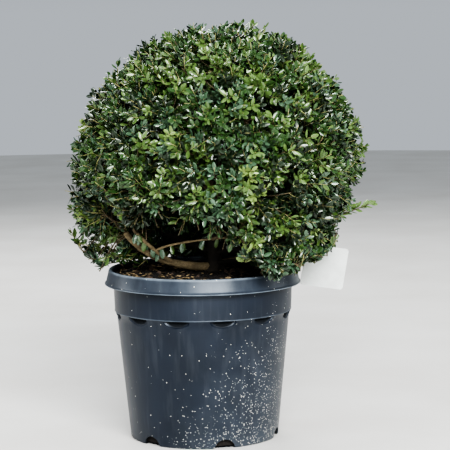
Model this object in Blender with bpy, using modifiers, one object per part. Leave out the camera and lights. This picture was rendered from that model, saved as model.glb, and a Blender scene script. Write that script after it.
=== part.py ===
"""A clipped Japanese holly ball growing in a round plastic nursery pot.

The origin is the centre of the pot's flat underside, +Z is up and -Y is the front.
Each sub-part is one closed solid. Pieces that touch keep a gap of 0.3 mm.
"""
import math
import random

import bmesh
import bpy
from mathutils import Matrix, Quaternion, Vector
from mathutils.bvhtree import BVHTree
from mathutils.geometry import intersect_point_line

GAP = 0.0003                     # between pieces that touch
UP = Vector((0, 0, 1))
GOLDEN_ANGLE = math.radians(137.508)

# Pot: a nursery pot of about 20 litres
POT_HEIGHT = 0.298
LIP_TOP_RADIUS = 0.1654
LIP_RADIUS = 0.1725              # widest, at the lip's lower edge
LIP_DEPTH = 0.0268
LIP_ROUNDING = 0.0022
COLLAR_TOP_RADIUS = 0.1571
COLLAR_RADIUS = 0.155
COLLAR_END = 0.2255
BODY_TOP = 0.2165
BODY_RADIUS = 0.1515
BASE_RADIUS = 0.1306
BASE_ROUNDING = 0.003
POT_WALL = 0.0024
SHOULDER_HEIGHT = 0.010          # the wall's inside widens over this height behind the collar
POT_STEPS = 48
CUTTER_SIDES = 16
CUTTER_REACH = 0.020             # how far a cutter stands out of the wall
SCALLOP_COUNT = 12               # shallow arches in the wall, under the collar
SCALLOP_WIDTH = 0.048
SCALLOP_HEIGHT = 0.0125
SCALLOP_DEPTH = 0.0034
SCALLOP_SILL = 0.2242
SCALLOP_TURN = math.radians(-76.6)
NOTCH_COUNT = 6                  # arched drain openings at the foot
NOTCH_WIDTH = 0.036
NOTCH_HEIGHT = 0.016
NOTCH_DEPTH = 0.012
NOTCH_TURN = math.radians(-74)

# Compost in the pot
COMPOST_DROP = 0.008             # below the lip's top
COMPOST_TOP = POT_HEIGHT - COMPOST_DROP
COMPOST_EDGE_DIP = 0.004

# Trunk, leaning a little to the left
TRUNK_FOOT = Vector((0.022, 0.002, COMPOST_TOP + GAP))
TRUNK_TOP = Vector((0.016, 0.004, 0.352))
TRUNK_FOOT_RADIUS = 0.014
TRUNK_TOP_RADIUS = 0.0095
ROOT_FLARE = 0.011               # how far the flare stands out at the foot
ROOT_FLARE_HEIGHT = 0.009
ROOT_LOBES = 5
TRUNK_SIDES = 16
LIMB_SIDES = 8
LIMB_STEPS = 7

# Crown: a clipped ball, fuller at the lower left and hollowed at the lower right
CROWN_CENTRE = Vector((0.028, 0, 0.478))
CROWN_RADIUS = 0.257
CROWN_HALF_HEIGHT = 0.246
CROWN_FOOT = 0.347               # height of the ball's foot at the pot's axis
CROWN_FOOT_SLOPE = (-0.04, -0.07)   # the foot falls to the right and to the back
CROWN_BULGES = (                 # azimuth, elevation, spread and height of each swelling
    (math.radians(180), math.radians(-24), math.radians(16), 0.026),
    (math.radians(0), math.radians(-24), math.radians(17), -0.030),
    (math.radians(6), math.radians(55), math.radians(13), 0.014),
    (math.radians(180), math.radians(57), math.radians(12), 0.009),
    (math.radians(0), math.radians(23), math.radians(10), 0.007),
)
CROWN_RIPPLE = 0.004
CORE_DEPTH = 0.030               # the dense core lies this far inside the leaf tips
CORE_LIFT = 0.014                # the core's foot over the lowest leaves
BOWL_RADIUS = 0.130              # the open hollow under the core
BOWL_BASE = 0.330
BOWL_RISE = 0.060
BALL_TWIGS = 120
BALL_TWIG_LEAVES = 3
LEAF_ATTEMPTS = 6
LEAF_ROOT_SINK = 0.0006
TWIG_RADIUS = 0.0021
TWIG_TIP_RADIUS = 0.0013
LEAF_LENGTH = 0.056              # larger than life, as each stands for a spray
LEAF_WIDTH = 0.029
LEAF_THICKNESS = 0.0030
SHOOT_START = Vector((0.165, -0.004, 0.371))   # a long shoot that stands out at the right
SHOOT_TIP = Vector((0.286, 0.000, 0.400))

# Skirts: loose growth that hangs round the foot of the ball, outside the pot's lip
SKIRT_FOOT = 0.268
SKIRT_TWIG = 0.046
SKIRT_BRANCHES = 11
SKIRT_CLEARANCE = 0.004          # kept between the skirts' space and the ball's
SKIRTS = (                       # name, seed, bough, share of it where the stem leaves;
    #                              the stem's azimuth, reach and drop; the space's azimuth,
    #                              half angle, reach and top
    ("foliage_skirt_left", 11, "bough_left", 0.62, (176, 0.105, 0.022), (182, 40, 0.267, 0.386)),
    ("foliage_skirt_front", 12, "bough_low_front", 1.0, (-52, 0.070, 0.030), (-50, 24, 0.226, 0.360)),
    ("foliage_skirt_right", 13, "bough_low_right", 1.0, (-78, 0.075, 0.030), (-8, 44, 0.240, 0.374)),
    ("foliage_skirt_back", 14, "bough_low_back", 1.0, (100, 0.075, 0.014), (98, 42, 0.244, 0.350)),
)
LEAF_CLEARANCE = 0.0015
POT_CLEARANCE = 0.004

# Blank plant label on a strap, hung on the low right bough
LABEL_WIDTH = 0.080
LABEL_HEIGHT = 0.074
LABEL_THICKNESS = 0.0012
LABEL_TILT = math.radians(10)
LABEL_CORNER = 0.0025
LABEL_MARGIN = 0.020             # kept free of leaves at each side of the label
STRAP_WIDTH = 0.014
STRAP_LENGTH = 0.018
STRAP_OVERLAP = 0.006            # of the strap on the plate
LABEL_ALONG = 0.965              # where on the bough the strap hangs


# --- helpers -------------------------------------------------------------------

def clear_scene():
    for old in list(bpy.data.objects):
        bpy.data.objects.remove(old)


def new_collection(name):
    made = bpy.data.collections.new(name)
    bpy.context.scene.collection.children.link(made)
    return made


def make_material(name, colour, roughness, metallic=0.0):
    made = bpy.data.materials.new(name)
    made.use_nodes = True
    surface = made.node_tree.nodes["Principled BSDF"]
    surface.inputs["Base Color"].default_value = (*colour, 1.0)
    surface.inputs["Roughness"].default_value = roughness
    surface.inputs["Metallic"].default_value = metallic
    made.diffuse_color = (*colour, 1.0)
    return made


def add_object(name, mesh, home, material=None):
    made = bpy.data.objects.new(name, mesh)
    home.objects.link(made)
    if material:
        mesh.materials.append(material)
    return made


def polar(radius, azimuth, height=0.0):
    return Vector((radius * math.cos(azimuth), radius * math.sin(azimuth), height))


def bake(thing):
    """Replace an object's mesh with its evaluated one, and drop its modifiers."""
    evaluated = thing.evaluated_get(bpy.context.evaluated_depsgraph_get())
    mesh = bpy.data.meshes.new_from_object(evaluated)
    thing.modifiers.clear()
    thing.data = mesh


def boolean(target, operation, other, solver="EXACT"):
    """Join or cut target with an object or a whole collection, and apply it."""
    step = target.modifiers.new(operation.title(), "BOOLEAN")
    step.operation = operation
    step.solver = solver
    if isinstance(other, bpy.types.Collection):
        step.operand_type = "COLLECTION"
        step.collection = other
    else:
        step.object = other
    bake(target)


def hide_cutter(cutter):
    cutter.hide_render = True
    cutter.display_type = "WIRE"


def turned(name, profile, home, material=None, steps=POT_STEPS):
    """A solid of revolution about Z from a closed loop of (radius, height) points, top down outside."""
    mesh = bpy.data.meshes.new(name)
    points = [(radius, 0, height) for radius, height in profile]
    edges = [(i, (i + 1) % len(points)) for i in range(len(points))]
    edges = [(i, j) for i, j in edges if points[i][0] > 0 or points[j][0] > 0]
    mesh.from_pydata(points, edges, [])
    made = add_object(name, mesh, home, material)
    screw = made.modifiers.new("Turn", "SCREW")
    screw.steps = screw.render_steps = steps
    screw.use_merge_vertices = True
    screw.merge_threshold = 0.00001
    bake(made)
    return made


def smooth(thing, angle=math.radians(40)):
    thing.data.shade_smooth()
    thing.data.set_sharp_from_angle(angle=angle)


def keep_main_body(thing):
    """Drop loose scraps and the walls of sealed hollows: only the largest shell stays."""
    mesh = bmesh.new()
    mesh.from_mesh(thing.data)
    unseen = set(mesh.verts)
    shells = []
    while unseen:
        start = unseen.pop()
        shell = {start}
        edge_of_shell = [start]
        while edge_of_shell:
            for edge in edge_of_shell.pop().link_edges:
                for vertex in edge.verts:
                    if vertex not in shell:
                        shell.add(vertex)
                        edge_of_shell.append(vertex)
        unseen -= shell
        shells.append(shell)
    shells.sort(key=len)
    scraps = [vertex for shell in shells[:-1] for vertex in shell]
    bmesh.ops.delete(mesh, geom=scraps, context="VERTS")
    bmesh.ops.triangulate(mesh, faces=mesh.faces)
    mesh.to_mesh(thing.data)
    mesh.free()


# --- pot and compost -----------------------------------------------------------

def arch_cutter(name, width, height, inner, outer, azimuth, sill, home):
    """An elliptical rod lying along the radius at azimuth, from radius inner to outer."""
    mesh = bpy.data.meshes.new(name)
    rod = bmesh.new()
    bmesh.ops.create_cone(rod, cap_ends=True, segments=CUTTER_SIDES, radius1=1, radius2=1,
                          depth=outer - inner)
    lie = Matrix.Rotation(azimuth, 4, "Z") @ Matrix.Rotation(math.pi / 2, 4, "Y")
    size = Matrix.Diagonal((height, width / 2, 1, 1))
    place = Matrix.Translation(polar((inner + outer) / 2, azimuth, sill))
    rod.transform(place @ lie @ size)
    rod.to_mesh(mesh)
    rod.free()
    cutter = add_object(name, mesh, home)
    hide_cutter(cutter)
    return cutter


def build_pot(home, cutters, material):
    lip_foot = POT_HEIGHT - LIP_DEPTH
    wall_inside = BODY_RADIUS - POT_WALL - SCALLOP_DEPTH
    outside = [
        (LIP_TOP_RADIUS - LIP_ROUNDING, POT_HEIGHT),
        (LIP_TOP_RADIUS, POT_HEIGHT - LIP_ROUNDING),
        (LIP_RADIUS - LIP_ROUNDING / 2, lip_foot + LIP_ROUNDING),
        (LIP_RADIUS, lip_foot),
        (LIP_RADIUS - LIP_ROUNDING, lip_foot - LIP_ROUNDING / 2),
        (COLLAR_TOP_RADIUS, lip_foot - LIP_ROUNDING / 2),
        (COLLAR_RADIUS, COLLAR_END),
        (BODY_RADIUS, BODY_TOP),
        (BASE_RADIUS, BASE_ROUNDING),
        (BASE_RADIUS - BASE_ROUNDING, 0),
        (0, 0),
    ]
    inside = [
        (0, POT_WALL),
        (BASE_RADIUS - POT_WALL - BASE_ROUNDING, POT_WALL),
        (wall_inside, BODY_TOP),
        (wall_inside, COLLAR_END),
        (COLLAR_RADIUS - POT_WALL, COLLAR_END + SHOULDER_HEIGHT),
        (COLLAR_TOP_RADIUS - POT_WALL, lip_foot - LIP_ROUNDING / 2),
        (LIP_TOP_RADIUS - POT_WALL - LIP_ROUNDING, POT_HEIGHT),
    ]
    profile = outside + inside
    pot = turned("pot", profile, home, material)

    for i in range(NOTCH_COUNT):
        azimuth = NOTCH_TURN + i * math.tau / NOTCH_COUNT
        cutter = arch_cutter(f"notch_cutter_{i}", NOTCH_WIDTH, NOTCH_HEIGHT,
                             BASE_RADIUS - NOTCH_DEPTH, BASE_RADIUS + CUTTER_REACH, azimuth, 0,
                             cutters)
        boolean(pot, "DIFFERENCE", cutter)
    for i in range(SCALLOP_COUNT):
        azimuth = SCALLOP_TURN + i * math.tau / SCALLOP_COUNT
        cutter = arch_cutter(f"scallop_cutter_{i}", SCALLOP_WIDTH, SCALLOP_HEIGHT,
                             BODY_RADIUS - SCALLOP_DEPTH, BODY_RADIUS + CUTTER_REACH, azimuth,
                             SCALLOP_SILL, cutters)
        lower_half(cutter, SCALLOP_SILL)
        boolean(pot, "DIFFERENCE", cutter)
    smooth(pot)
    return profile


def lower_half(thing, height):
    """Keep the part of a closed mesh below the given height."""
    mesh = bmesh.new()
    mesh.from_mesh(thing.data)
    everything = mesh.verts[:] + mesh.edges[:] + mesh.faces[:]
    cut = bmesh.ops.bisect_plane(mesh, geom=everything, plane_co=(0, 0, height), plane_no=UP,
                                 clear_outer=True)
    rim = [item for item in cut["geom_cut"] if isinstance(item, bmesh.types.BMEdge)]
    bmesh.ops.contextual_create(mesh, geom=rim)
    bmesh.ops.recalc_face_normals(mesh, faces=mesh.faces)
    mesh.to_mesh(thing.data)
    mesh.free()


def build_compost(home, pot_profile, material):
    """Fills the pot to just under its lip, a gap clear of the wall and the floor."""
    wall = pot_profile[-6:]           # the wall's inside, from its floor up to its lip
    floor_radius, floor_height = wall[0]
    below_lip, at_lip = wall[-2], wall[-1]
    share = (COMPOST_TOP - COMPOST_EDGE_DIP - below_lip[1]) / (at_lip[1] - below_lip[1])
    edge_radius = below_lip[0] + share * (at_lip[0] - below_lip[0])
    clear = 2 * GAP
    profile = [
        (0, COMPOST_TOP),
        (0.62 * edge_radius, COMPOST_TOP),
        (edge_radius - clear, COMPOST_TOP - COMPOST_EDGE_DIP),
    ]
    profile += [(radius - clear, height) for radius, height in reversed(wall[1:-1])]
    profile += [
        (floor_radius - clear, floor_height + GAP),
        (0, floor_height + GAP),
    ]
    compost = turned("compost", profile, home, material)
    smooth(compost)


# --- trunk and boughs ----------------------------------------------------------

class Limb:
    """A tapering limb: its route, and its radius at each point of the route."""

    def __init__(self, name, route, start_radius, tip_radius):
        self.name = name
        self.route = route
        last = len(route) - 1
        self.radii = [start_radius + (tip_radius - start_radius) * i / last for i in range(last + 1)]

    def at(self, along):
        place = along * (len(self.route) - 1)
        i = min(int(place), len(self.route) - 2)
        return self.route[i].lerp(self.route[i + 1], place - i)

    def radius_at(self, along):
        return self.radii[0] + along * (self.radii[-1] - self.radii[0])

    def direction(self, along=1.0):
        i = min(int(along * (len(self.route) - 1)), len(self.route) - 2)
        return (self.route[i + 1] - self.route[i]).normalized()

    def distance(self, point):
        """How far a point lies outside the limb's bark."""
        nearest = math.inf
        for i in range(len(self.route) - 1):
            start, end = self.route[i], self.route[i + 1]
            foot, along = intersect_point_line(point, start, end)
            foot = start.lerp(end, min(max(along, 0), 1))
            nearest = min(nearest, (point - foot).length - self.radii[i])
        return nearest


def bend(start, control, end, steps=LIMB_STEPS):
    """Points along a quadratic curve."""
    points = []
    for i in range(steps + 1):
        t = i / steps
        points.append((1 - t) ** 2 * start + 2 * t * (1 - t) * control + t ** 2 * end)
    return points


def limb_solid(name, route, radii, home, material=None, sides=LIMB_SIDES):
    """A closed tube of changing radius along the route, with flat ends."""
    curve = bpy.data.curves.new(name, "CURVE")
    curve.dimensions = "3D"
    curve.bevel_depth = 1.0
    curve.bevel_resolution = sides // 2 - 2
    curve.use_fill_caps = True
    spline = curve.splines.new("POLY")
    spline.points.add(len(route) - 1)
    for point, place, radius in zip(spline.points, route, radii):
        point.co = (*place, 1)
        point.radius = radius
    rod = bpy.data.objects.new(name, curve)
    home.objects.link(rod)
    bpy.context.view_layer.update()
    mesh = bpy.data.meshes.new_from_object(rod.evaluated_get(bpy.context.evaluated_depsgraph_get()))
    bpy.data.objects.remove(rod)
    welded = bmesh.new()
    welded.from_mesh(mesh)
    bmesh.ops.remove_doubles(welded, verts=welded.verts, dist=0.00001)
    bmesh.ops.recalc_face_normals(welded, faces=welded.faces)
    welded.to_mesh(mesh)
    welded.free()
    mesh.materials.clear()
    return add_object(name, mesh, home, material)


def socket_cutter(limb, cutters):
    """The limb's own shape grown by the gap on all sides and at both ends."""
    route = list(limb.route)
    route[0] = route[0] - limb.direction(0.0) * GAP
    route[-1] = route[-1] + limb.direction() * GAP * 1.2
    widen = 1.2 * GAP / math.cos(math.pi / LIMB_SIDES)
    radii = [radius + widen for radius in limb.radii]
    cutter = limb_solid(limb.name + "_clearance", route, radii, cutters)
    hide_cutter(cutter)
    return cutter


def build_trunk(home, cutters, material):
    """Short stem with lobed root flare; its flat foot stands on the compost."""
    route = bend(TRUNK_FOOT, TRUNK_FOOT.lerp(TRUNK_TOP, 0.5) + Vector((0.004, 0, 0)), TRUNK_TOP, 10)
    limb = Limb("trunk", route, TRUNK_FOOT_RADIUS, TRUNK_TOP_RADIUS)
    trunk = limb_solid("trunk", route, limb.radii, home, material, sides=TRUNK_SIDES)
    grown_route = route[:-1] + [route[-1] + limb.direction() * 1.5 * GAP]
    cutter = limb_solid("trunk_clearance", grown_route, [radius + 2 * GAP for radius in limb.radii],
                        cutters, sides=TRUNK_SIDES)
    for thing in (trunk, cutter):
        spread_roots(thing.data)
    hide_cutter(cutter)
    smooth(trunk)
    return limb, cutter


def spread_roots(mesh):
    """Push the foot of the trunk out into root lobes, and level its underside."""
    for vertex in mesh.vertices:
        height = vertex.co.z - TRUNK_FOOT.z
        arm = vertex.co - TRUNK_FOOT
        arm.z = 0
        if arm.length < 0.001:
            continue
        lobe = 0.55 + 0.45 * math.cos(ROOT_LOBES * math.atan2(arm.y, arm.x))
        spread = ROOT_FLARE * lobe * math.exp(-max(height, 0) / ROOT_FLARE_HEIGHT)
        vertex.co += arm.normalized() * spread
        if height < 0.0015:
            vertex.co.z = TRUNK_FOOT.z


def bough_limb(name, trunk, height, azimuth, reach, tip_height, radii, bow=(0.45, 0.35)):
    """A bough from the trunk at a height, out at an azimuth, that steepens by its bow.

    With no tip height given it ends where it has entered the ball's core.
    """
    along = (height - TRUNK_FOOT.z) / (TRUNK_TOP.z - TRUNK_FOOT.z)
    start = trunk.at(along)
    azimuth = math.radians(azimuth)
    end = start + polar(reach, azimuth)
    if tip_height is None:
        tip_height = core_entry(end.x, end.y)
    end.z = tip_height
    control = start + polar(reach * bow[0], azimuth, (tip_height - start.z) * bow[1])
    return Limb(name, bend(start, control, end), *radii)


def core_entry(x, y):
    """Height at which a bough's tip lies just inside the core's foot."""
    return crown_foot(x, y) + CORE_LIFT + 0.012


def plan_boughs(trunk):
    """Every bough: those that hold up the ball first, then the low ones that hold the skirts."""
    left = bough_limb("bough_left", trunk, 0.299, 201, 0.165, None, (0.0078, 0.0054), (0.72, 0.04))
    boughs = [
        left,
        bough_limb("bough_right", trunk, 0.322, -24, 0.150, None, (0.0062, 0.0046)),
        bough_limb("bough_back", trunk, 0.324, 62, 0.145, None, (0.0064, 0.0046)),
        bough_limb("bough_back_left", trunk, 0.324, 138, 0.150, None, (0.0062, 0.0046)),
    ]
    leader_top = Vector((CROWN_CENTRE.x - 0.004, 0.003, BOWL_BASE + BOWL_RISE + 0.012))
    leader_start = TRUNK_TOP - UP * 0.004
    boughs.append(Limb("leader", bend(leader_start, leader_start.lerp(leader_top, 0.5), leader_top, 3),
                       TRUNK_TOP_RADIUS, 0.0078))
    fork_start = left.at(0.36)
    fork_end = Vector((-0.112, -0.084, core_entry(-0.112, -0.084)))
    fork = Limb("bough_left_fork", bend(fork_start, Vector((-0.074, -0.052, 0.324)), fork_end),
                0.0042, 0.0032)
    twig_start = fork.at(0.55)
    twig_end = Vector((0.070, -0.122, core_entry(0.070, -0.122)))
    twig = Limb("front_twig", bend(twig_start, Vector((-0.045, -0.088, 0.357)), twig_end), 0.0022, 0.0018)
    low = [
        bough_limb("bough_low_front", trunk, 0.304, -54, 0.142, 0.332, (0.0048, 0.0034)),
        bough_limb("bough_low_right", trunk, 0.303, 14, 0.220, 0.350, (0.0056, 0.0030)),
        bough_limb("bough_low_back", trunk, 0.303, 104, 0.150, 0.318, (0.0050, 0.0034)),
    ]
    return boughs, fork, twig, low


# --- the crown's space -----------------------------------------------------------

def crown_reach(direction):
    """Distance from the crown's centre to its clipped surface along a unit direction."""
    flat = math.hypot(direction.x, direction.y)
    reach = 1 / math.hypot(flat / CROWN_RADIUS, direction.z / CROWN_HALF_HEIGHT)
    azimuth = math.atan2(direction.y, direction.x)
    elevation = math.asin(max(-1, min(1, direction.z)))
    for bulge_azimuth, bulge_elevation, spread, height in CROWN_BULGES:
        heart = polar(math.cos(bulge_elevation), bulge_azimuth, math.sin(bulge_elevation))
        reach += height * math.exp(-(direction.angle(heart) / spread) ** 2)
    reach += CROWN_RIPPLE * math.sin(5 * azimuth + 1) * math.cos(4 * elevation)
    return reach


def crown_foot(x, y):
    """Height of the ball's lowest leaves over a place on the ground."""
    return CROWN_FOOT - CORE_LIFT + CROWN_FOOT_SLOPE[0] * x + CROWN_FOOT_SLOPE[1] * y


def in_ball(point):
    arm = point - CROWN_CENTRE
    return point.z > crown_foot(point.x, point.y) and arm.length < crown_reach(arm.normalized())


def clear_of_pot(point):
    rim_side = math.hypot(point.x, point.y) > LIP_RADIUS + POT_CLEARANCE
    return point.z > POT_HEIGHT + POT_CLEARANCE or rim_side


def skirt_space(azimuth, half_angle, reach, top):
    """Test for a point in the sector round an azimuth, under and beside the foot of the ball."""
    heart = math.radians(azimuth)
    half_angle = math.radians(half_angle)

    def inside(point):
        arm = point - CROWN_CENTRE
        turn = math.atan2(arm.y, arm.x) - heart
        turn = abs(math.atan2(math.sin(turn), math.cos(turn)))
        under_ball = point.z < crown_foot(point.x, point.y) - SKIRT_CLEARANCE
        beside_ball = arm.length > crown_reach(arm.normalized()) + SKIRT_CLEARANCE
        return (turn < half_angle and SKIRT_FOOT < point.z < top
                and math.hypot(arm.x, arm.y) < reach
                and (under_ball or beside_ball) and clear_of_pot(point))
    return inside


# --- twigs and leaves ------------------------------------------------------------

def twig_mesh(start, end, start_radius, tip_radius):
    """A three-sided twig, open nowhere."""
    mesh = bpy.data.meshes.new("twig")
    rod = bmesh.new()
    length = (end - start).length
    bmesh.ops.create_cone(rod, cap_ends=True, cap_tris=True, segments=3, radius1=start_radius,
                          radius2=tip_radius, depth=length)
    turn = UP.rotation_difference(end - start).to_matrix().to_4x4()
    rod.transform(Matrix.Translation((start + end) / 2) @ turn)
    bmesh.ops.triangulate(rod, faces=rod.faces)
    rod.to_mesh(mesh)
    rod.free()
    return mesh


def leaf_points(root, direction, normal, length):
    """Root, tip, both sides, face and back of a leaf of eight faces."""
    side = direction.cross(normal).normalized()
    normal = side.cross(direction).normalized()
    scale = length / LEAF_LENGTH
    middle = root + direction * length * 0.5
    side = side * LEAF_WIDTH * scale / 2
    lift = normal * LEAF_THICKNESS * scale / 2
    return [root, root + direction * length, middle + side, middle - side, middle + lift, middle - lift]


LEAF_FACES = [(0, 2, 4), (2, 1, 4), (1, 3, 4), (3, 0, 4), (2, 0, 5), (1, 2, 5), (3, 1, 5), (0, 3, 5)]


def leaf_mesh(points):
    mesh = bpy.data.meshes.new("leaf")
    mesh.from_pydata(points, [], LEAF_FACES)
    blade = bmesh.new()
    blade.from_mesh(mesh)
    bmesh.ops.recalc_face_normals(blade, faces=blade.faces)
    blade.to_mesh(mesh)
    blade.free()
    return mesh


class Twig:
    """A straight twig's two ends, and the solid that stands for it."""

    def __init__(self, start, end, piece):
        self.start = start
        self.end = end
        self.piece = piece


class Growth:
    """Twigs and leaves of one mass, kept to its own space and off every obstacle."""

    def __init__(self, name, seed, inside, obstacles):
        self.pieces = new_collection(name + "_pieces")
        self.placed = []
        self.rng = random.Random(seed)
        self.inside = inside
        self.obstacles = obstacles

    def fits(self, points):
        for point in points:
            if not self.inside(point):
                return False
            if any(obstacle.distance(point) < LEAF_CLEARANCE for obstacle in self.obstacles):
                return False
        return True

    def place(self, kind, mesh, grown_from):
        """Add a piece unless it crosses one that it doesn't grow from; the piece, or None."""
        corners = [vertex.co for vertex in mesh.vertices]
        heart = sum(corners, Vector()) / len(corners)
        reach = max((corner - heart).length for corner in corners)
        shape = BVHTree.FromPolygons(corners, [face.vertices for face in mesh.polygons])
        for other, other_heart, other_reach, other_shape in self.placed:
            if other is grown_from or (heart - other_heart).length > reach + other_reach:
                continue
            if shape.overlap(other_shape):
                return None
        piece = add_object(kind, mesh, self.pieces)
        self.placed.append((piece, heart, reach, shape))
        return piece

    def add_leaf(self, twig, along, spin, splay, facing, length):
        """A leaf whose root lies in its twig, where the space and the other pieces let it stand."""
        axis = (twig.end - twig.start).normalized()
        across = axis.orthogonal().normalized()
        across.rotate(Quaternion(axis, spin))
        direction = (axis * math.cos(splay) + across * math.sin(splay)).normalized()
        root = twig.start.lerp(twig.end, along) - direction * LEAF_ROOT_SINK
        normal = facing - direction * facing.dot(direction)
        if normal.length < 0.05:
            normal = direction.orthogonal()
        points = leaf_points(root, direction, normal.normalized(), length)
        quarter = root.lerp(points[1], 0.75)
        if not self.fits(points + [quarter]):
            return False
        return self.place("leaf", leaf_mesh(points), twig.piece) is not None

    def add_twig(self, start, end, start_radius, tip_radius, free=0.3, parent=None):
        """A twig, tested from the share of its length where it stands free; None if it can't."""
        tested = [start.lerp(end, free + (1 - free) * i / 3) for i in range(4)]
        if not self.fits(tested):
            return None
        mesh = twig_mesh(start, end, start_radius, tip_radius)
        piece = self.place("twig", mesh, parent.piece if parent else None)
        return Twig(start, end, piece) if piece else None

    def fuse(self, body):
        """One Boolean union joins everything to the body; the loose pieces are then removed."""
        boolean(body, "UNION", self.pieces, "MANIFOLD")
        for piece in list(self.pieces.objects):
            bpy.data.objects.remove(piece)
        bpy.data.collections.remove(self.pieces)
        keep_main_body(body)


def build_core(name, home, cutters, material, sockets):
    """The ball's dense core: ripples with the crown, flat foot, bowl under it, bough sockets."""
    mesh = bpy.data.meshes.new(name)
    ball = bmesh.new()
    bmesh.ops.create_icosphere(ball, subdivisions=3, radius=1)
    for vertex in ball.verts:
        direction = vertex.co.normalized()
        vertex.co = CROWN_CENTRE + direction * (crown_reach(direction) - CORE_DEPTH)
    ball.to_mesh(mesh)
    ball.free()
    core = add_object(name, mesh, home, material)

    bpy.ops.mesh.primitive_cube_add(size=1)
    floor = bpy.context.object
    floor.name = "core_foot_cutter"
    slope = Vector((-CROWN_FOOT_SLOPE[0], -CROWN_FOOT_SLOPE[1], 1)).normalized()
    tilt = UP.rotation_difference(slope).to_matrix().to_4x4()
    floor.data.transform(Matrix.Translation((0, 0, CROWN_FOOT)) @ tilt @ Matrix.Translation((0, 0, -0.5)))
    bpy.ops.mesh.primitive_uv_sphere_add(segments=20, ring_count=10, radius=1,
                                         location=(CROWN_CENTRE.x, CROWN_CENTRE.y, BOWL_BASE))
    bowl = bpy.context.object
    bowl.name = "bowl_cutter"
    bowl.scale = (BOWL_RADIUS, BOWL_RADIUS, BOWL_RISE)
    for cutter in (floor, bowl):
        for owner in cutter.users_collection:
            owner.objects.unlink(cutter)
        cutters.objects.link(cutter)
        hide_cutter(cutter)
    bpy.context.view_layer.update()
    for cutter in [floor, bowl] + sockets:
        boolean(core, "DIFFERENCE", cutter)
    return core


def build_ball(home, cutters, material, sockets, obstacles):
    """Twigs stand out of the core on an even spiral, each with a fan of leaves at its end."""
    name = "foliage_ball"
    growth = Growth(name, 7, in_ball, obstacles)
    core = build_core(name, home, cutters, material, sockets)
    rng = growth.rng
    add_long_shoot(growth)
    for i in range(BALL_TWIGS):
        rise = 1 - 1.56 * (i + 0.5) / BALL_TWIGS
        azimuth = i * GOLDEN_ANGLE + rng.uniform(-0.1, 0.1)
        direction = polar(math.sqrt(1 - rise * rise), azimuth, rise)
        reach = crown_reach(direction)
        start = CROWN_CENTRE + direction * (reach - CORE_DEPTH - 0.012)
        lean = Vector([rng.uniform(-0.25, 0.25) for _ in range(3)])
        end = start + (direction + lean).normalized() * rng.uniform(0.026, 0.034)
        twig = growth.add_twig(start, end, TWIG_RADIUS, TWIG_TIP_RADIUS, free=0.6)
        if twig is None:
            continue
        spin = rng.uniform(0, math.tau)
        for k in range(BALL_TWIG_LEAVES):
            along = 0.96 - 0.13 * k
            for attempt in range(LEAF_ATTEMPTS):
                angle = math.radians(56 + 6 * k + 4 * attempt + rng.uniform(-7, 7))
                length = LEAF_LENGTH * (rng.uniform(0.9, 1.1) - 0.05 * attempt)
                turn = spin + k * math.tau / 3 + rng.uniform(-0.3, 0.3) * attempt
                if growth.add_leaf(twig, along, turn, angle, direction, length):
                    break
    growth.fuse(core)


def add_long_shoot(growth):
    """A slim shoot that the last clipping missed, with leaves set alternately along it."""
    in_space = growth.inside
    growth.inside = lambda point: point.z > crown_foot(point.x, point.y)
    shoot = growth.add_twig(SHOOT_START, SHOOT_TIP, TWIG_RADIUS, TWIG_TIP_RADIUS, free=0.5)
    for i in range(7):
        growth.add_leaf(shoot, 0.60 + 0.052 * i, i * GOLDEN_ANGLE,
                        math.radians(50 - 4 * i), UP, 0.6 * LEAF_LENGTH)
    growth.add_leaf(shoot, 0.985, 0, math.radians(8), UP, 0.5 * LEAF_LENGTH)
    growth.inside = in_space


def grow_branch(growth, start, direction, length, radius, depth, droop, parent=None):
    """One twig with side twigs and leaves, by the same rule at each depth."""
    rng = growth.rng
    end = start + (direction + UP * droop).normalized() * length
    twig = growth.add_twig(start, end, radius, radius * 0.65, free=0.25, parent=parent)
    if twig is None:
        return
    turn = rng.uniform(0, math.tau)
    if depth > 0:
        for k in range(2):
            along = 0.4 + 0.3 * k
            axis = (end - start).normalized()
            across = axis.orthogonal().normalized()
            across.rotate(Quaternion(axis, turn + k * GOLDEN_ANGLE))
            side = (axis * 0.62 + across * 0.78).normalized()
            grow_branch(growth, start.lerp(end, along), side, length * 0.6, radius * 0.8,
                        depth - 1, droop, twig)
    leaves = 3 if depth == 0 else 2
    for k in range(leaves):
        along = 0.97 - 0.16 * k
        for attempt in range(LEAF_ATTEMPTS):
            splay = math.radians(24 + 14 * k + 5 * attempt + rng.uniform(-8, 8))
            spin = turn + (k + attempt) * GOLDEN_ANGLE
            length_now = LEAF_LENGTH * rng.uniform(0.62, 0.8)
            if growth.add_leaf(twig, along, spin, splay, UP, length_now):
                break


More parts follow.
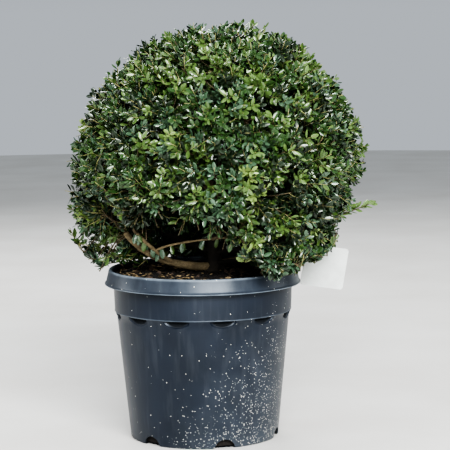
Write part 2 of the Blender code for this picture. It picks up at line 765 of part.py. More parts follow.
def build_skirt(name, seed, carrier, along, out, sector, home, material, obstacles, cutter=None):
    """A loose mass on one stem; the stem leaves its carrier's tip, or its side at a share of it."""
    growth = Growth(name, seed, skirt_space(*sector), obstacles)
    rng = growth.rng
    azimuth, reach, drop = out
    azimuth = math.radians(azimuth)
    start = carrier.at(along)
    radius = carrier.radius_at(along) * 0.86
    if cutter is None:
        start = start + carrier.direction() * 2 * GAP
    end = start + polar(reach, azimuth, -drop)
    control = start + (carrier.direction() if cutter is None else polar(1, azimuth)) * reach * 0.5
    route = bend(start, control, end, 5)
    stem = Limb(name, route, radius, radius * 0.5)
    body = limb_solid(name, route, stem.radii, home, material, sides=6)
    spread = sector[1] / 60
    for k in range(SKIRT_BRANCHES):
        place = stem.at(0.2 + 0.75 * k / (SKIRT_BRANCHES - 1))
        side = -1 if k % 2 else 1
        turn = side * (1.35 - 0.11 * k) * spread
        direction = polar(1, azimuth + turn, rng.uniform(-0.3, 0.35))
        grow_branch(growth, place, direction, SKIRT_TWIG * rng.uniform(0.8, 1.3), 0.0019, 1, -0.2)
    growth.fuse(body)
    if cutter:
        boolean(body, "DIFFERENCE", cutter)
        keep_main_body(body)
    return stem


# --- label -----------------------------------------------------------------------

def build_label(home, carrier, material):
    """A blank tag with rounded corners; its strap closes in a loop round the bough."""
    hang = carrier.at(LABEL_ALONG)
    axis = carrier.direction(LABEL_ALONG)
    bore = carrier.radius_at(LABEL_ALONG) + 2.5 * GAP
    loop_radius = bore + LABEL_THICKNESS
    bpy.ops.mesh.primitive_cylinder_add(vertices=20, radius=loop_radius, depth=STRAP_WIDTH)
    label = bpy.context.object
    label.name = "plant_label"
    level = UP.rotation_difference(axis).to_matrix().to_4x4()
    label.data.transform(Matrix.Translation(hang) @ level)

    strap = flat_plate("strap", STRAP_WIDTH, STRAP_LENGTH + STRAP_OVERLAP, 0, home)
    plate = flat_plate("plate", LABEL_WIDTH, LABEL_HEIGHT, LABEL_CORNER, home)
    facing = math.atan2(axis.y, axis.x)
    swing = Matrix.Rotation(facing, 4, "Z") @ Matrix.Rotation(LABEL_TILT, 4, "Y")
    strap_top = -loop_radius + LABEL_THICKNESS / 2
    strap_middle = Vector((0, 0, strap_top - (STRAP_LENGTH + STRAP_OVERLAP) / 2))
    plate_middle = Vector((0, 0, strap_top - STRAP_LENGTH - LABEL_HEIGHT / 2))
    strap.data.transform(Matrix.Translation(hang) @ swing @ Matrix.Translation(strap_middle))
    plate.data.transform(Matrix.Translation(hang) @ swing @ Matrix.Translation(plate_middle))
    for thing in (strap, plate):
        boolean(label, "UNION", thing)
        bpy.data.objects.remove(thing)

    bpy.ops.mesh.primitive_cylinder_add(vertices=20, radius=bore, depth=STRAP_WIDTH * 2)
    hole = bpy.context.object
    hole.data.transform(Matrix.Translation(hang) @ level)
    boolean(label, "DIFFERENCE", hole)
    bpy.data.objects.remove(hole)
    for owner in label.users_collection:
        owner.objects.unlink(label)
    home.objects.link(label)
    label.data.materials.clear()
    label.data.materials.append(material)


def flat_plate(name, width, height, corner, home):
    """An upright plate in the XZ plane, with its corners rounded."""
    plate = bmesh.new()
    bmesh.ops.create_cube(plate, size=1)
    plate.transform(Matrix.Diagonal((width, LABEL_THICKNESS, height, 1)))
    if corner:
        upright = [edge for edge in plate.edges
                   if abs(edge.verts[0].co.y - edge.verts[1].co.y) > LABEL_THICKNESS / 2]
        bmesh.ops.bevel(plate, geom=upright, offset=corner, segments=3, affect="EDGES")
    mesh = bpy.data.meshes.new(name)
    plate.to_mesh(mesh)
    plate.free()
    return add_object(name, mesh, home)


class LabelGuard:
    """Keeps twigs and leaves off the label's plate and strap."""

    def __init__(self, carrier):
        self.hang = carrier.at(LABEL_ALONG)
        axis = carrier.direction(LABEL_ALONG)
        self.along = Vector((axis.x, axis.y, 0)).normalized()
        self.across = self.along.cross(UP)

    def distance(self, point):
        arm = point - self.hang
        gaps = (
            abs(arm.dot(self.along)) - LABEL_WIDTH / 2 - LABEL_MARGIN,
            abs(arm.dot(self.across)) - LABEL_THICKNESS / 2 - POT_CLEARANCE,
            arm.z - STRAP_WIDTH / 2,
            -arm.z - STRAP_LENGTH - LABEL_HEIGHT - LABEL_MARGIN,
        )
        return max(gaps)


# --- the plant -------------------------------------------------------------------

def main():
    clear_scene()
    home = new_collection("potted_japanese_holly_ball")
    cutters = new_collection("cutters")
    pot_plastic = make_material("pot_plastic", (0.045, 0.056, 0.072), 0.5)
    compost_fill = make_material("compost", (0.030, 0.022, 0.016), 0.95)
    bark = make_material("bark", (0.235, 0.170, 0.105), 0.85)
    holly_leaf = make_material("holly_leaf", (0.055, 0.120, 0.045), 0.4)
    label_plastic = make_material("label_plastic", (0.80, 0.80, 0.78), 0.45)

    pot_profile = build_pot(home, cutters, pot_plastic)
    build_compost(home, pot_profile, compost_fill)

    trunk, trunk_cutter = build_trunk(home, cutters, bark)
    boughs, fork, twig, low = plan_boughs(trunk)
    clearances = {}
    for limb in boughs + [fork, twig] + low:
        made = limb_solid(limb.name, limb.route, limb.radii, home, bark)
        clearances[limb.name] = socket_cutter(limb, cutters)
        if limb is fork:
            boolean(made, "DIFFERENCE", clearances["bough_left"])
        elif limb is twig:
            boolean(made, "DIFFERENCE", clearances["bough_left_fork"])
        else:
            boolean(made, "DIFFERENCE", trunk_cutter)
        keep_main_body(made)
        smooth(made, math.radians(60))

    low_right = low[1]
    build_label(home, low_right, label_plastic)
    guard = LabelGuard(low_right)
    limbs = [trunk] + boughs + [fork, twig] + low + [guard]
    carriers = {limb.name: limb for limb in boughs + low}
    stems = []
    for name, seed, carried_by, along, out, sector in SKIRTS:
        carrier = carriers[carried_by]
        others = [limb for limb in limbs if limb is not carrier]
        cutter = clearances[carried_by] if along < 1 else None
        stems.append(build_skirt(name, seed, carrier, along, out, sector, home, holly_leaf,
                                 others, cutter))
    sockets = [clearances[limb.name] for limb in boughs + [fork, twig, low_right]]
    build_ball(home, cutters, holly_leaf, sockets, limbs + stems)


main()
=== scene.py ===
"""Finishes a clipped Japanese holly ball in its nursery pot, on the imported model's own frame.

Laid out as an add-on and run as a script. Sizes are in metres unless a name says otherwise.
"""
import math

import bpy
import numpy as np
from bpy.props import FloatProperty, FloatVectorProperty, IntProperty, PointerProperty
from bpy.types import Operator, Panel, PropertyGroup
from mathutils import Matrix, Vector


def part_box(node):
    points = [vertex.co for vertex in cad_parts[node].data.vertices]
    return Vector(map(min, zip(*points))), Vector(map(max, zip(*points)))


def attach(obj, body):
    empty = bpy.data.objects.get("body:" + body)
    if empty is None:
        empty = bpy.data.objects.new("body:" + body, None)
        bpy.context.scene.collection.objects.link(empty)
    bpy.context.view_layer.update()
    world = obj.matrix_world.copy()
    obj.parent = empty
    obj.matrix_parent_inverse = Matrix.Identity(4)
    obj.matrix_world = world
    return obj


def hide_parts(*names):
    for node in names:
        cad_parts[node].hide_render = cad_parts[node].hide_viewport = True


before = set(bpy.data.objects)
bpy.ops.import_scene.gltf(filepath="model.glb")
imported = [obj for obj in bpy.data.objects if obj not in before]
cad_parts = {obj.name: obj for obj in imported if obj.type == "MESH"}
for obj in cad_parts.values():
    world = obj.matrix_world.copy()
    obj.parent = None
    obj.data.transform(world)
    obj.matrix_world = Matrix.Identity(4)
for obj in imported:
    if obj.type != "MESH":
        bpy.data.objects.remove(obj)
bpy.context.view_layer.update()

bl_info = {
    "name": "Potted Holly Ball",
    "version": (1, 0, 0),
    "blender": (4, 5, 0),
    "location": "3D View > Sidebar > Holly Ball",
    "description": "Pot, compost, limbs, foliage, label and studio stage of a clipped holly ball",
    "category": "Object",
}

UP = Vector((0, 0, 1))
GOLDEN_ANGLE = math.radians(137.508)

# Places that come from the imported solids
POT_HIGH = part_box("pot")[1]
LIP_RADIUS = POT_HIGH.x
COMPOST_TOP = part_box("compost")[1].z
LABEL_LOW, LABEL_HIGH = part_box("plant_label")

MASS_NODES = ("foliage_ball", "foliage_skirt_left", "foliage_skirt_front", "foliage_skirt_right",
              "foliage_skirt_back")

# The pot's wall
LIP_TOP_INSET = 0.0071           # of the lip's upper edge from its widest
LIP_TOP_ROUNDING = 0.0028
LIP_EDGE_ROUNDING = 0.0016
COLLAR_TOP_RADIUS = 0.1571
COLLAR_RADIUS = 0.155
COLLAR_END = 0.2255
COLLAR_ROUNDING = 0.0014
BODY_TOP = 0.2165                # just under the collar
BODY_RADIUS = 0.1515
BASE_RADIUS = 0.1306
FOOT_ROUNDING = 0.003
POT_STEPS = 144
DRAIN_COUNT = 6
FIRST_DRAIN = -74                # azimuth in degrees
DRAIN_CUT = 0.022                # how far the cutter runs along the radius
SCALLOP_COUNT = 12
FIRST_SCALLOP = -76.6            # azimuth in degrees
SCALLOP_RADIUS = 0.1518
SCALLOP_LEVEL = 0.2242
SCALLOP_DEPTH = 0.0050
SCALLOP_HALF_WIDTH = 0.024

# The compost: level in the middle, and dished down towards the wall
COMPOST_RADIUS = 0.1558
COMPOST_RINGS = 44
COMPOST_STEPS = 120
COMPOST_LEVEL_SHARE = 0.62       # of the radius
COMPOST_DIP = 0.004
COMPOST_LOOSE_DEPTH = 0.0035     # above it the surface is roughened
COMPOST_SIDE = ((0.1545, 0.272), (0.1505, 0.236), (0.1420, 0.224), (0.1240, 0.004), (0.0, 0.004))
COMPOST_LUMPS = ((0.022, 0.004), (0.005, 0.003))    # size and height
CRUMB_RADIUS = 0.1555            # of the disc that crumbs lie in
CRUMB_DISH_RADIUS = 0.155
CRUMB_SIZES = (0.0012, 0.0052)
CHIP_SIZES = (0.002, 0.008)
CRUMBS_PER_CHIP = 9
CRUMB_CHIPPING = (0.55, 1.2)     # reach of a crumb's corners, as a share of its size
CRUMB_SQUEEZE = (0.45, 1.0)
CRUMB_RISE = 0.25                # of its middle over the compost, as a share of its size
LITTER_RADIUS = 0.150
FRONT_LITTER_RADIUS = 0.152
FRONT_LITTER_HOLLOW = 0.55       # share of that radius without any
FRONT_LITTER_LIMIT = (-0.02, -0.03)    # it lies left of and before this place
LITTER_LENGTHS = (0.006, 0.012)
LITTER_SLENDERNESS = 0.0075 / 0.017
LITTER_HEIGHTS = (0.0005, 0.004)    # over the compost
LITTER_RISE = (-0.15, 0.3)       # of a dry leaf along its length
LITTER_TILT = 0.35
LITTER_CURLS = (-1.6, 1.6)

# Trunk and boughs
TRUNK_FOOT = Vector((0.022, 0.002, COMPOST_TOP))
TRUNK_TOP = Vector((0.016, 0.004, 0.352))
TRUNK_RADII = (0.014, 0.0095)
LEADER_HEIGHT = 0.402
CORE_DEPTH = 0.026               # boughs end this far over the lowest leaves
FORK_END = (-0.112, -0.084)
FRONT_TWIG_END = (0.070, -0.122)
# Limbs in the open arch keep the bark's own colour; all others take the darker copy of it that
# paints shade on them
OPEN_LIMBS = ("bough_left", "bough_left_fork", "front_twig", "bough_low_right")
LIMB_STEPS = 56
ROUTE_STRIDE = 7                 # every seventh point leaves eighths of a limb's route
ROOT_LOBES = 5
ROOT_SPREAD = 0.011
ROOT_FADE = 0.009                # height over which the root lobes run out
FULL_BARK_RADIUS = 0.006         # thinner limbs have lower ridges
BARK_RIDGES = ((0.020, 2.0), (0.0045, 1.0))    # size, and height as a share of the relief

# The crown's space, by the rule that shapes its solid, but flatter at the upper left
CROWN_CENTRE = Vector((0.028, 0, 0.478))
CROWN_RADIUS = 0.257
CROWN_HALF_HEIGHT = 0.246
CROWN_FOOT = 0.333               # lowest leaves of the ball over the pot's axis
CROWN_FOOT_SLOPE = (-0.04, -0.07)
CROWN_BULGES = (                 # azimuth, elevation and spread in degrees, height
    (180, -24, 16, 0.026),
    (0, -24, 17, -0.030),
    (6, 55, 13, 0.014),
    (180, 47, 14, -0.010),
    (0, 23, 10, 0.007),
)
CROWN_RIPPLE = 0.004
TUFT_HEIGHT = 0.0072             # how far tufts stand over the hollows between them
TUFT_WAVES = 9
TUFT_SPAN = (22, 44)             # how fast the waves turn round the ball, in radians per radian
SKIRT_FOOT = 0.268
SKIRTS = (                       # azimuth and half angle in degrees, reach and top, and twigs
    (182, 40, 0.267, 0.386, 50),
    (-50, 24, 0.226, 0.360, 84),
    (-8, 44, 0.212, 0.374, 84),
    (98, 42, 0.244, 0.350, 170),
    (101, 17, 0.240, 0.342, 100),
)
POT_CLEARANCE = 0.004
LABEL_CLEARANCE = 0.004
LIMB_CLEARANCE = 0.001
# Lowest leaves round the crown: azimuth in degrees, height. The front is left open as an arch.
LEAF_FOOT = (
    (0, 0.317), (14, 0.322), (30, 0.312), (45, 0.290), (60, 0.272), (110, 0.272), (125, 0.300),
    (145, 0.305), (165, 0.290), (180, 0.270), (194, 0.285), (203, 0.382), (214, 0.380),
    (221, 0.358), (229, 0.356), (236, 0.368), (255, 0.366), (270, 0.352), (280, 0.331),
    (290, 0.316), (300, 0.288), (310, 0.302), (325, 0.318), (340, 0.316),
)
HOLLOW_RADIUS = 0.085            # round the trunk there are no leaves below HOLLOW_FOOT
HOLLOW_FOOT = 0.346
RING_RADIUS = 0.160              # from here out LEAF_FOOT holds in full
FLARE_RADIUS = 0.195             # beyond it the lowest leaves rise towards the tips
FLARE_SLOPE = 1.25

# Growth in the ball. The ends of each order are counted as for a full sphere.
BOUGH_ENDS = 34
BOUGH_LOWEST = -0.35             # lowest rise of the directions they are set in
BOUGH_REACH = 0.52               # share of the crown's reach
BOUGH_FOOT_GAP = 0.02            # of the ends over the ball's foot
LOW_LEFT_END = (-0.160, -0.064, 0.395)    # of one more bough, into the loose tuft
BRANCH_ENDS = 170
BRANCH_LOWEST = -0.50
BRANCH_DEPTHS = (0.075, 0.115)   # under the clipped surface, as for twigs and lining
BRANCH_FOOT_GAPS = (0.015, 0.012)    # over the ball's foot, and over LEAF_FOOT
TWIG_LOWEST = -0.74
TWIG_DEPTHS = (0.016, 0.044)
TWIG_FOOT_GAPS = (0.002, 0.003)
THIN_TUFTS = (-0.014, -0.002)    # tuft heights: all twigs are missing below, and none above
LINING_TWIGS = 1300              # a second layer in the back's lower half
LINING_DEPTHS = (0.036, 0.080)
LINING_TOP = 0.05                # highest rise of its directions
LINING_BACK = 0.1                # how far back they point at least
LOOSE_EDGE = -0.150              # the low left tuft beyond this is loose and lets light through
LOOSE_TOP = 0.385
LOOSE_SHARE = 0.5                # of its twigs that are missing
BOUGH_CURVE = (0.42, 7)          # bow and steps of the routes
BRANCH_CURVE = (0.40, 6)
TWIG_CURVE = (0.36, 4)
SKIRT_CURVE = (0.45, 6)
OUTWARD_COST = 0.7               # of a joint that lies further out than the growth it would carry
SKIRT_BRANCHES = 9
SKIRT_TRIES = 90000              # random places from which the skirt's own are taken
SKIRT_HUB_HEIGHT = 0.36
SKIRT_LEAF_MARGIN = 6            # degrees that leaves may stand past the skirt's sides

# Shoots and leaves
SIDE_SHOOTS = 3
BALL_SHOOTS = (0.018, 0.036)     # lengths
SKIRT_SHOOTS = (0.016, 0.032)
SHOOT_SKINS = (-0.007, 0.004)    # how deep a shoot's end has to stay; below 0 it may stand out
MAIN_LEAN = 0.22                 # random lean of the shoot that carries a twig on
SIDE_LEAN = 0.2
SIDE_WAY = (0.35, 0.55, 0.8)     # how far side shoots run with the twig, outwards and aside
SIDE_START = 0.45                # first side shoot's share of the twig
SIDE_SPAN = 0.5                  # from the first side shoot to the last
PROUD_SHARE = 0.06               # of the twigs that stand out of the clipped surface
PROUD_HEIGHT = 0.008
SHOOT_BEND = 0.0012              # how far a shoot's middle strays
SHOOT_LEAVES = 8
LEAST_LEAVES = 3                 # a shoot with fewer is dropped
FIRST_LEAF = 0.20                # its place along the shoot
LEAF_SIZES = (0.72, 1.08)        # shares of a full leaf
LEAF_SPLAY = (74, 40, 9)         # degrees off the shoot at its start, less at its tip, and spread
LEAF_TURN = 0.2                  # spread of the turn round the shoot, in radians
LEAF_TILT = 0.22
LEAF_CURLS = (0.5, 1.8)
LEAF_PROBES = (0.25, 0.6, 1.0)   # shares of its length at which a leaf has to be clear
TIP_START = 0.6                  # beyond this share of the shoot the leaves get smaller
TIP_LOSS = 0.35
LEAF_CURVE = 0.6                 # how far a leaf follows LEAF_OUTLINE's bend at a curl of 1
LEAF_OUTLINE = (                 # along the blade, across it, and how far it bends down
    (0.00, 0.00, 0.00), (0.24, 0.00, 0.02), (0.55, 0.00, 0.04), (0.84, 0.00, 0.01),
    (1.00, 0.00, -0.05),
    (0.22, 0.36, -0.07), (0.54, 0.50, -0.12), (0.85, 0.31, -0.11),
    (0.22, -0.36, -0.07), (0.54, -0.50, -0.12), (0.85, -0.31, -0.11),
)
LEAF_FACES = (
    (0, 1, 5), (1, 6, 5), (1, 2, 6), (2, 7, 6), (2, 3, 7), (3, 4, 7),
    (0, 8, 1), (1, 8, 9), (1, 9, 2), (2, 9, 10), (2, 10, 3), (3, 10, 4),
)
LEAF_TONES = (                   # name, colour, roughness and share of the sprays
    ("holly_leaf_deep", "#182715", 0.28, 0.27),
    ("holly_leaf_green", "#2e4723", 0.27, 0.33),
    ("holly_leaf_cool", "#415843", 0.25, 0.13),
    ("holly_leaf_moss", "#455c2e", 0.29, 0.17),
    ("holly_leaf_olive", "#526a37", 0.32, 0.08),
    ("holly_leaf_fresh", "#70864a", 0.34, 0.02),
)
GREEN, COOL, MOSS, OLIVE = 1, 2, 3, 4    # rows of LEAF_TONES
SUN_SHIFT = 0.10                 # of the chances towards the yellower, lighter tones at the crown's top, as painted sunlight
SHADE_TOP = 0.440                # below it this share of the green sprays is cool instead, as painted shade
SHADE_SHARE = 0.45
HANGING_PLACES = (               # of the hanging leaves along the fork and the front twig
    (0.48, 0.64, 0.78, 0.82, 0.92, 0.97, 1.00, 1.00),
    (0.12, 0.30, 0.44, 0.47, 0.66, 0.68, 0.80, 0.88, 0.97),
)
HANGING_LENGTHS = (0.016, 0.020)
HANGING_WAY = (0.05, -0.1, -1.0)
HANGING_FACE = (0.1, -1.0, 0.5)
HANGING_LEAN = 0.25
LONG_SHOOTS = (                  # start, end and leaves of the shoots left long by the shears
    ((0.165, -0.020, 0.366), (0.296, 0.0, 0.4070), 34),
    ((0.205, -0.016, 0.372), (0.262, -0.004, 0.4030), 16),
)
LONG_SAG = (0, -0.004, -0.005)   # of their middle
LONG_FLATNESS = 0.6              # of the ring that their leaves stand in
LONG_SPLAY = (62, 34)            # degrees off the shoot at its start, and less at its tip
LONG_LEAVES = (0.0185, 0.0035)   # length at the start, and less at the tip
LONG_FACE = (0, -0.5, 0.5)       # the way their leaves turn their faces
LONG_TILT = 0.4
LONG_OLIVE = 0.6                 # leaves beyond this share are olive
WOOD_SIZES = {                   # radius at the foot and at the tip, and sides
    "inner_boughs": (0.0036, 0.0021, 7),
    "branches": (0.0021, 0.0013, 5),
    "long_shoots": (0.0013, 0.0007, 5),
    "skirt_branches": (0.0017, 0.0010, 5),
    "twigs": (0.0011, 0.0007, 4),
    "shoots": (0.0008, 0.0005, 3),
}

# The stage
FLOOR_RADIUS = 7
SKY_COLOUR = "#dfe6ee"
# Pale wall along the floor, dim above it and full from 20 degrees up, as under a lit ceiling:
# rise and brightness
SKY_STOPS = ((0.0, 0.55), (0.03, 0.50), (0.07, 0.26), (0.36, 0.56))
LIGHTS = (                       # name, place, aim, size and power in watts
    ("overhead_soft", (0.2, -1.0, 3.0), (0, 0, 0.40), (1.6, 1.6), 16),
    ("left_soft", (-2.5, -1.7, 1.7), (0, 0, 0.40), (1.0, 1.0), 13),
    ("front_soft", (0.7, -3.1, 2.1), (0, 0, 0.40), (2.2, 1.2), 262),
    ("low_soft", (0.0, -3.0, 0.6), (0, 0, 0.30), (2.0, 0.8), 16),
    ("back_soft", (-0.6, 2.6, 2.4), (0, 0, 0.40), (2.0, 1.2), 72),
    ("right_soft", (2.8, 0.5, 1.6), (0, 0, 0.36), (1.0, 1.8), 18),
    ("left_back_soft", (-2.8, 0.9, 1.6), (0, 0, 0.36), (1.0, 1.8), 26),
)


# --- small tools -----------------------------------------------------------------

def linear(hex_colour):
    """An sRGB hex value as the linear colour that sockets take."""
    parts = [int(hex_colour[i:i + 2], 16) / 255 for i in (1, 3, 5)]
    return tuple(v / 12.92 if v <= 0.04045 else ((v + 0.055) / 1.055) ** 2.4 for v in parts)


def rgba(hex_colour):
    return (*linear(hex_colour), 1)


def select_only(thing):
    bpy.ops.object.select_all(action="DESELECT")
    thing.select_set(True)
    bpy.context.view_layer.objects.active = thing


def edit_all(thing):
    select_only(thing)
    bpy.ops.object.mode_set(mode="EDIT")
    bpy.ops.mesh.select_all(action="SELECT")


def merge_and_face_out(distance):
    """In edit mode, merge doubled points and turn the faces outwards; back to object mode."""
    bpy.ops.mesh.select_all(action="SELECT")
    bpy.ops.mesh.remove_doubles(threshold=distance)
    bpy.ops.mesh.normals_make_consistent(inside=False)
    bpy.ops.object.mode_set(mode="OBJECT")


def apply_modifier(thing, kind, **settings):
    """Add a modifier with its settings, and apply it."""
    select_only(thing)
    step = thing.modifiers.new(kind.title(), kind)
    for name, value in settings.items():
        setattr(step, name, value)
    bpy.ops.object.modifier_apply(modifier=step.name)


def roughen(thing, name, size, **settings):
    """Raise lumps of a size on a mesh, by a cloud texture."""
    lumps = bpy.data.textures.new(name, "CLOUDS")
    lumps.noise_scale = size
    apply_modifier(thing, "DISPLACE", texture=lumps, texture_coords="LOCAL", **settings)


def link_new(name, data):
    """A new object of some data, in the scene."""
    made = bpy.data.objects.new(name, data)
    bpy.context.scene.collection.objects.link(made)
    return made


def finish(piece, material, nodes=(), smooth_degrees=None):
    """Bake a piece's place into its mesh, give it its finish, and set it on the frame."""
    select_only(piece)
    bpy.ops.object.transform_apply(location=True, rotation=True, scale=True)
    if smooth_degrees is not None:
        bpy.ops.object.shade_smooth_by_angle(angle=math.radians(smooth_degrees))
    piece.data.materials.clear()
    piece.data.materials.append(material)
    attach(piece, "root")
    if nodes:
        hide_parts(*nodes)
    return piece


def mesh_object(name, points, faces, smooth=True):
    """One mesh from arrays of points and of triangles."""
    mesh = bpy.data.meshes.new(name)
    mesh.vertices.add(len(points))
    mesh.vertices.foreach_set("co", np.asarray(points, np.float32).ravel())
    mesh.loops.add(len(faces) * 3)
    mesh.loops.foreach_set("vertex_index", np.asarray(faces, np.int32).ravel())
    mesh.polygons.add(len(faces))
    mesh.polygons.foreach_set("loop_start", np.arange(0, len(faces) * 3, 3, dtype=np.int32))
    mesh.polygons.foreach_set("use_smooth", np.full(len(faces), smooth))
    mesh.update(calc_edges=True)
    mesh.validate()
    return link_new(name, mesh)


def unit(vectors):
    return vectors / np.maximum(np.linalg.norm(vectors, axis=-1, keepdims=True), 1e-9)


def polar(radius, degrees, height=0.0):
    azimuth = math.radians(degrees)
    return Vector((radius * math.cos(azimuth), radius * math.sin(azimuth), height))


# --- settings --------------------------------------------------------------------

class PotSettings(PropertyGroup):
    wall: FloatProperty(name="Wall", description="Thickness of the pot's wall", default=0.0024,
                        unit="LENGTH")
    lip_depth: FloatProperty(name="Lip depth", description="Height of the lip's outer band",
                             default=0.0268, unit="LENGTH")
    notch_width: FloatProperty(name="Drain width", description="Width of a drain opening",
                               default=0.036, unit="LENGTH")
    notch_height: FloatProperty(name="Drain height", description="Height of a drain opening",
                                default=0.016, unit="LENGTH")
    scallop_height: FloatProperty(name="Scallop height",
                                  description="Height of a scallop under the collar",
                                  default=0.0125, unit="LENGTH")
    plastic: FloatVectorProperty(name="Plastic", description="Colour of the moulded plastic",
                                 default=linear("#151b26"), subtype="COLOR")
    sand: FloatVectorProperty(name="Sand", description="Colour of the sand stuck to the wall",
                              default=linear("#e9e6da"), subtype="COLOR")


class CompostSettings(PropertyGroup):
    crumbs: IntProperty(name="Crumbs", description="Clods and bark chips on top", default=2600)
    litter: IntProperty(name="Litter", description="Dry leaves on the compost", default=190)
    soil: FloatVectorProperty(name="Soil", description="Colour of the moist compost",
                              default=linear("#1d1814"), subtype="COLOR")


class LimbSettings(PropertyGroup):
    bark: FloatVectorProperty(name="Bark", description="Colour of the older bark",
                              default=linear("#85775a"), subtype="COLOR")
    # A darker copy of the bark's colour: painted shade for the trunk and the limbs inside the crown
    damp_bark: FloatVectorProperty(name="Shade-painted bark", description="Colour of the bark kept in shade",
                                   default=linear("#29241c"), subtype="COLOR")
    relief: FloatProperty(name="Relief", description="Height of the bark's ridges",
                          default=0.0011, unit="LENGTH")


class FoliageSettings(PropertyGroup):
    twigs: IntProperty(name="Twigs", description="Twigs of the ball, each with its shoots",
                       default=1850)
    leaf_length: FloatProperty(name="Leaf length", description="Length of a full leaf",
                               default=0.0172, unit="LENGTH")
    leaf_width: FloatProperty(name="Leaf width", description="Width of a full leaf",
                              default=0.0083, unit="LENGTH")
    seed: IntProperty(name="Seed", description="Start of the growth rule's chances", default=5)


class LabelSettings(PropertyGroup):
    sheet: FloatVectorProperty(name="Sheet", description="Colour of the label",
                               default=linear("#d3d7d4"), subtype="COLOR")


class StageSettings(PropertyGroup):
    lens_mm: FloatProperty(name="Lens", description="Focal length in millimetres", default=155.7)
    distance: FloatProperty(name="Distance", description="Camera's distance before the pot",
                            default=3.4, unit="LENGTH")
    height: FloatProperty(name="Height", description="Camera's height over the floor",
                          default=0.745, unit="LENGTH")
    aside: FloatProperty(name="Aside", description="Camera's place to the right of the pot's axis",
                         default=0.0405, unit="LENGTH")
    pitch: FloatProperty(name="Pitch", description="How far the camera looks down",
                         default=math.radians(6.26), unit="ROTATION")
    roll: FloatProperty(name="Roll", description="How far the camera leans over",
                        default=math.radians(-0.7), unit="ROTATION")


# --- materials -------------------------------------------------------------------

class Nodes:
    """Short calls for the nodes of one tree. Values may be sockets, which are then linked."""

    def __init__(self, tree):
        self.tree = tree

    def add(self, kind, inputs=(), **settings):
        """Add a node with values for its inputs and settings."""
        node = self.tree.nodes.new("ShaderNode" + kind)
        for name, value in settings.items():
            setattr(node, name, value)
        for name, value in dict(inputs).items():
            if isinstance(value, bpy.types.NodeSocket):
                self.tree.links.new(value, node.inputs[name])
            else:
                node.inputs[name].default_value = value
        return node

    def ramp(self, source, *stops):
        """A colour ramp over a 0 to 1 value, with (position, linear colour) stops."""
        node = self.add("ValToRGB", {"Fac": source})
        stop_list = node.color_ramp.elements
        while len(stop_list) < len(stops):
            stop_list.new(0.5)
        for stop, (position, colour) in zip(stop_list, stops):
            stop.position = position
            stop.color = (*colour, 1)
        return node.outputs["Color"]

    def grey_ramp(self, source, stops):
        return self.ramp(source, *((position, (grey,) * 3) for position, grey in stops))

    def height_of(self, vector):
        return self.add("SeparateXYZ", {"Vector": vector}).outputs["Z"]


class Look(Nodes):
    """A material with one Principled surface, patterned by place on the object."""

    def __init__(self, name, colour, roughness, inputs=()):
        self.material = bpy.data.materials.new(name)
        self.material.use_nodes = True
        self.material.diffuse_color = (*colour, 1)
        super().__init__(self.material.node_tree)
        self.surface = self.tree.nodes["Principled BSDF"].inputs
        settled = {"Base Color": (*colour, 1), "Roughness": roughness, **dict(inputs)}
        for key, value in settled.items():
            self.surface[key].default_value = value
        self.place = self.add("TexCoord").outputs["Object"]

    def noise(self, scale, detail, place=None, distortion=0.0):
        """Cloudy noise, 0 to 1, with lumps about 1 / scale across."""
        inputs = {"Vector": self.place if place is None else place, "Scale": scale,
                  "Detail": detail, "Distortion": distortion}
        return self.add("TexNoise", inputs).outputs["Fac"]

    def math(self, operation, *values):
        return self.add("Math", enumerate(values), operation=operation).outputs["Value"]

    def remap(self, value, low, high, to_low=0.0, to_high=1.0, clamp=True):
        """The value's range low to high as to_low to to_high."""
        inputs = {"Value": value, "From Min": low, "From Max": high, "To Min": to_low,
                  "To Max": to_high}
        return self.add("MapRange", inputs, clamp=clamp).outputs["Result"]

    def mix(self, share, under, over, blend="MIX"):
        inputs = {"Factor": share, "A": under, "B": over}
        return self.add("Mix", inputs, data_type="RGBA", blend_type=blend).outputs["Result"]

    def feed(self, name, source):
        """Link a socket to an input of the surface."""
        self.tree.links.new(source, self.surface[name])

    def mottle(self, scale, detail, *stops):
        """Colour the surface by noise alone."""
        self.feed("Base Color", self.ramp(self.noise(scale, detail), *stops))

    def relief(self, height, strength, distance):
        bump = self.add("Bump", {"Height": height, "Strength": strength, "Distance": distance})
        self.feed("Normal", bump.outputs["Normal"])


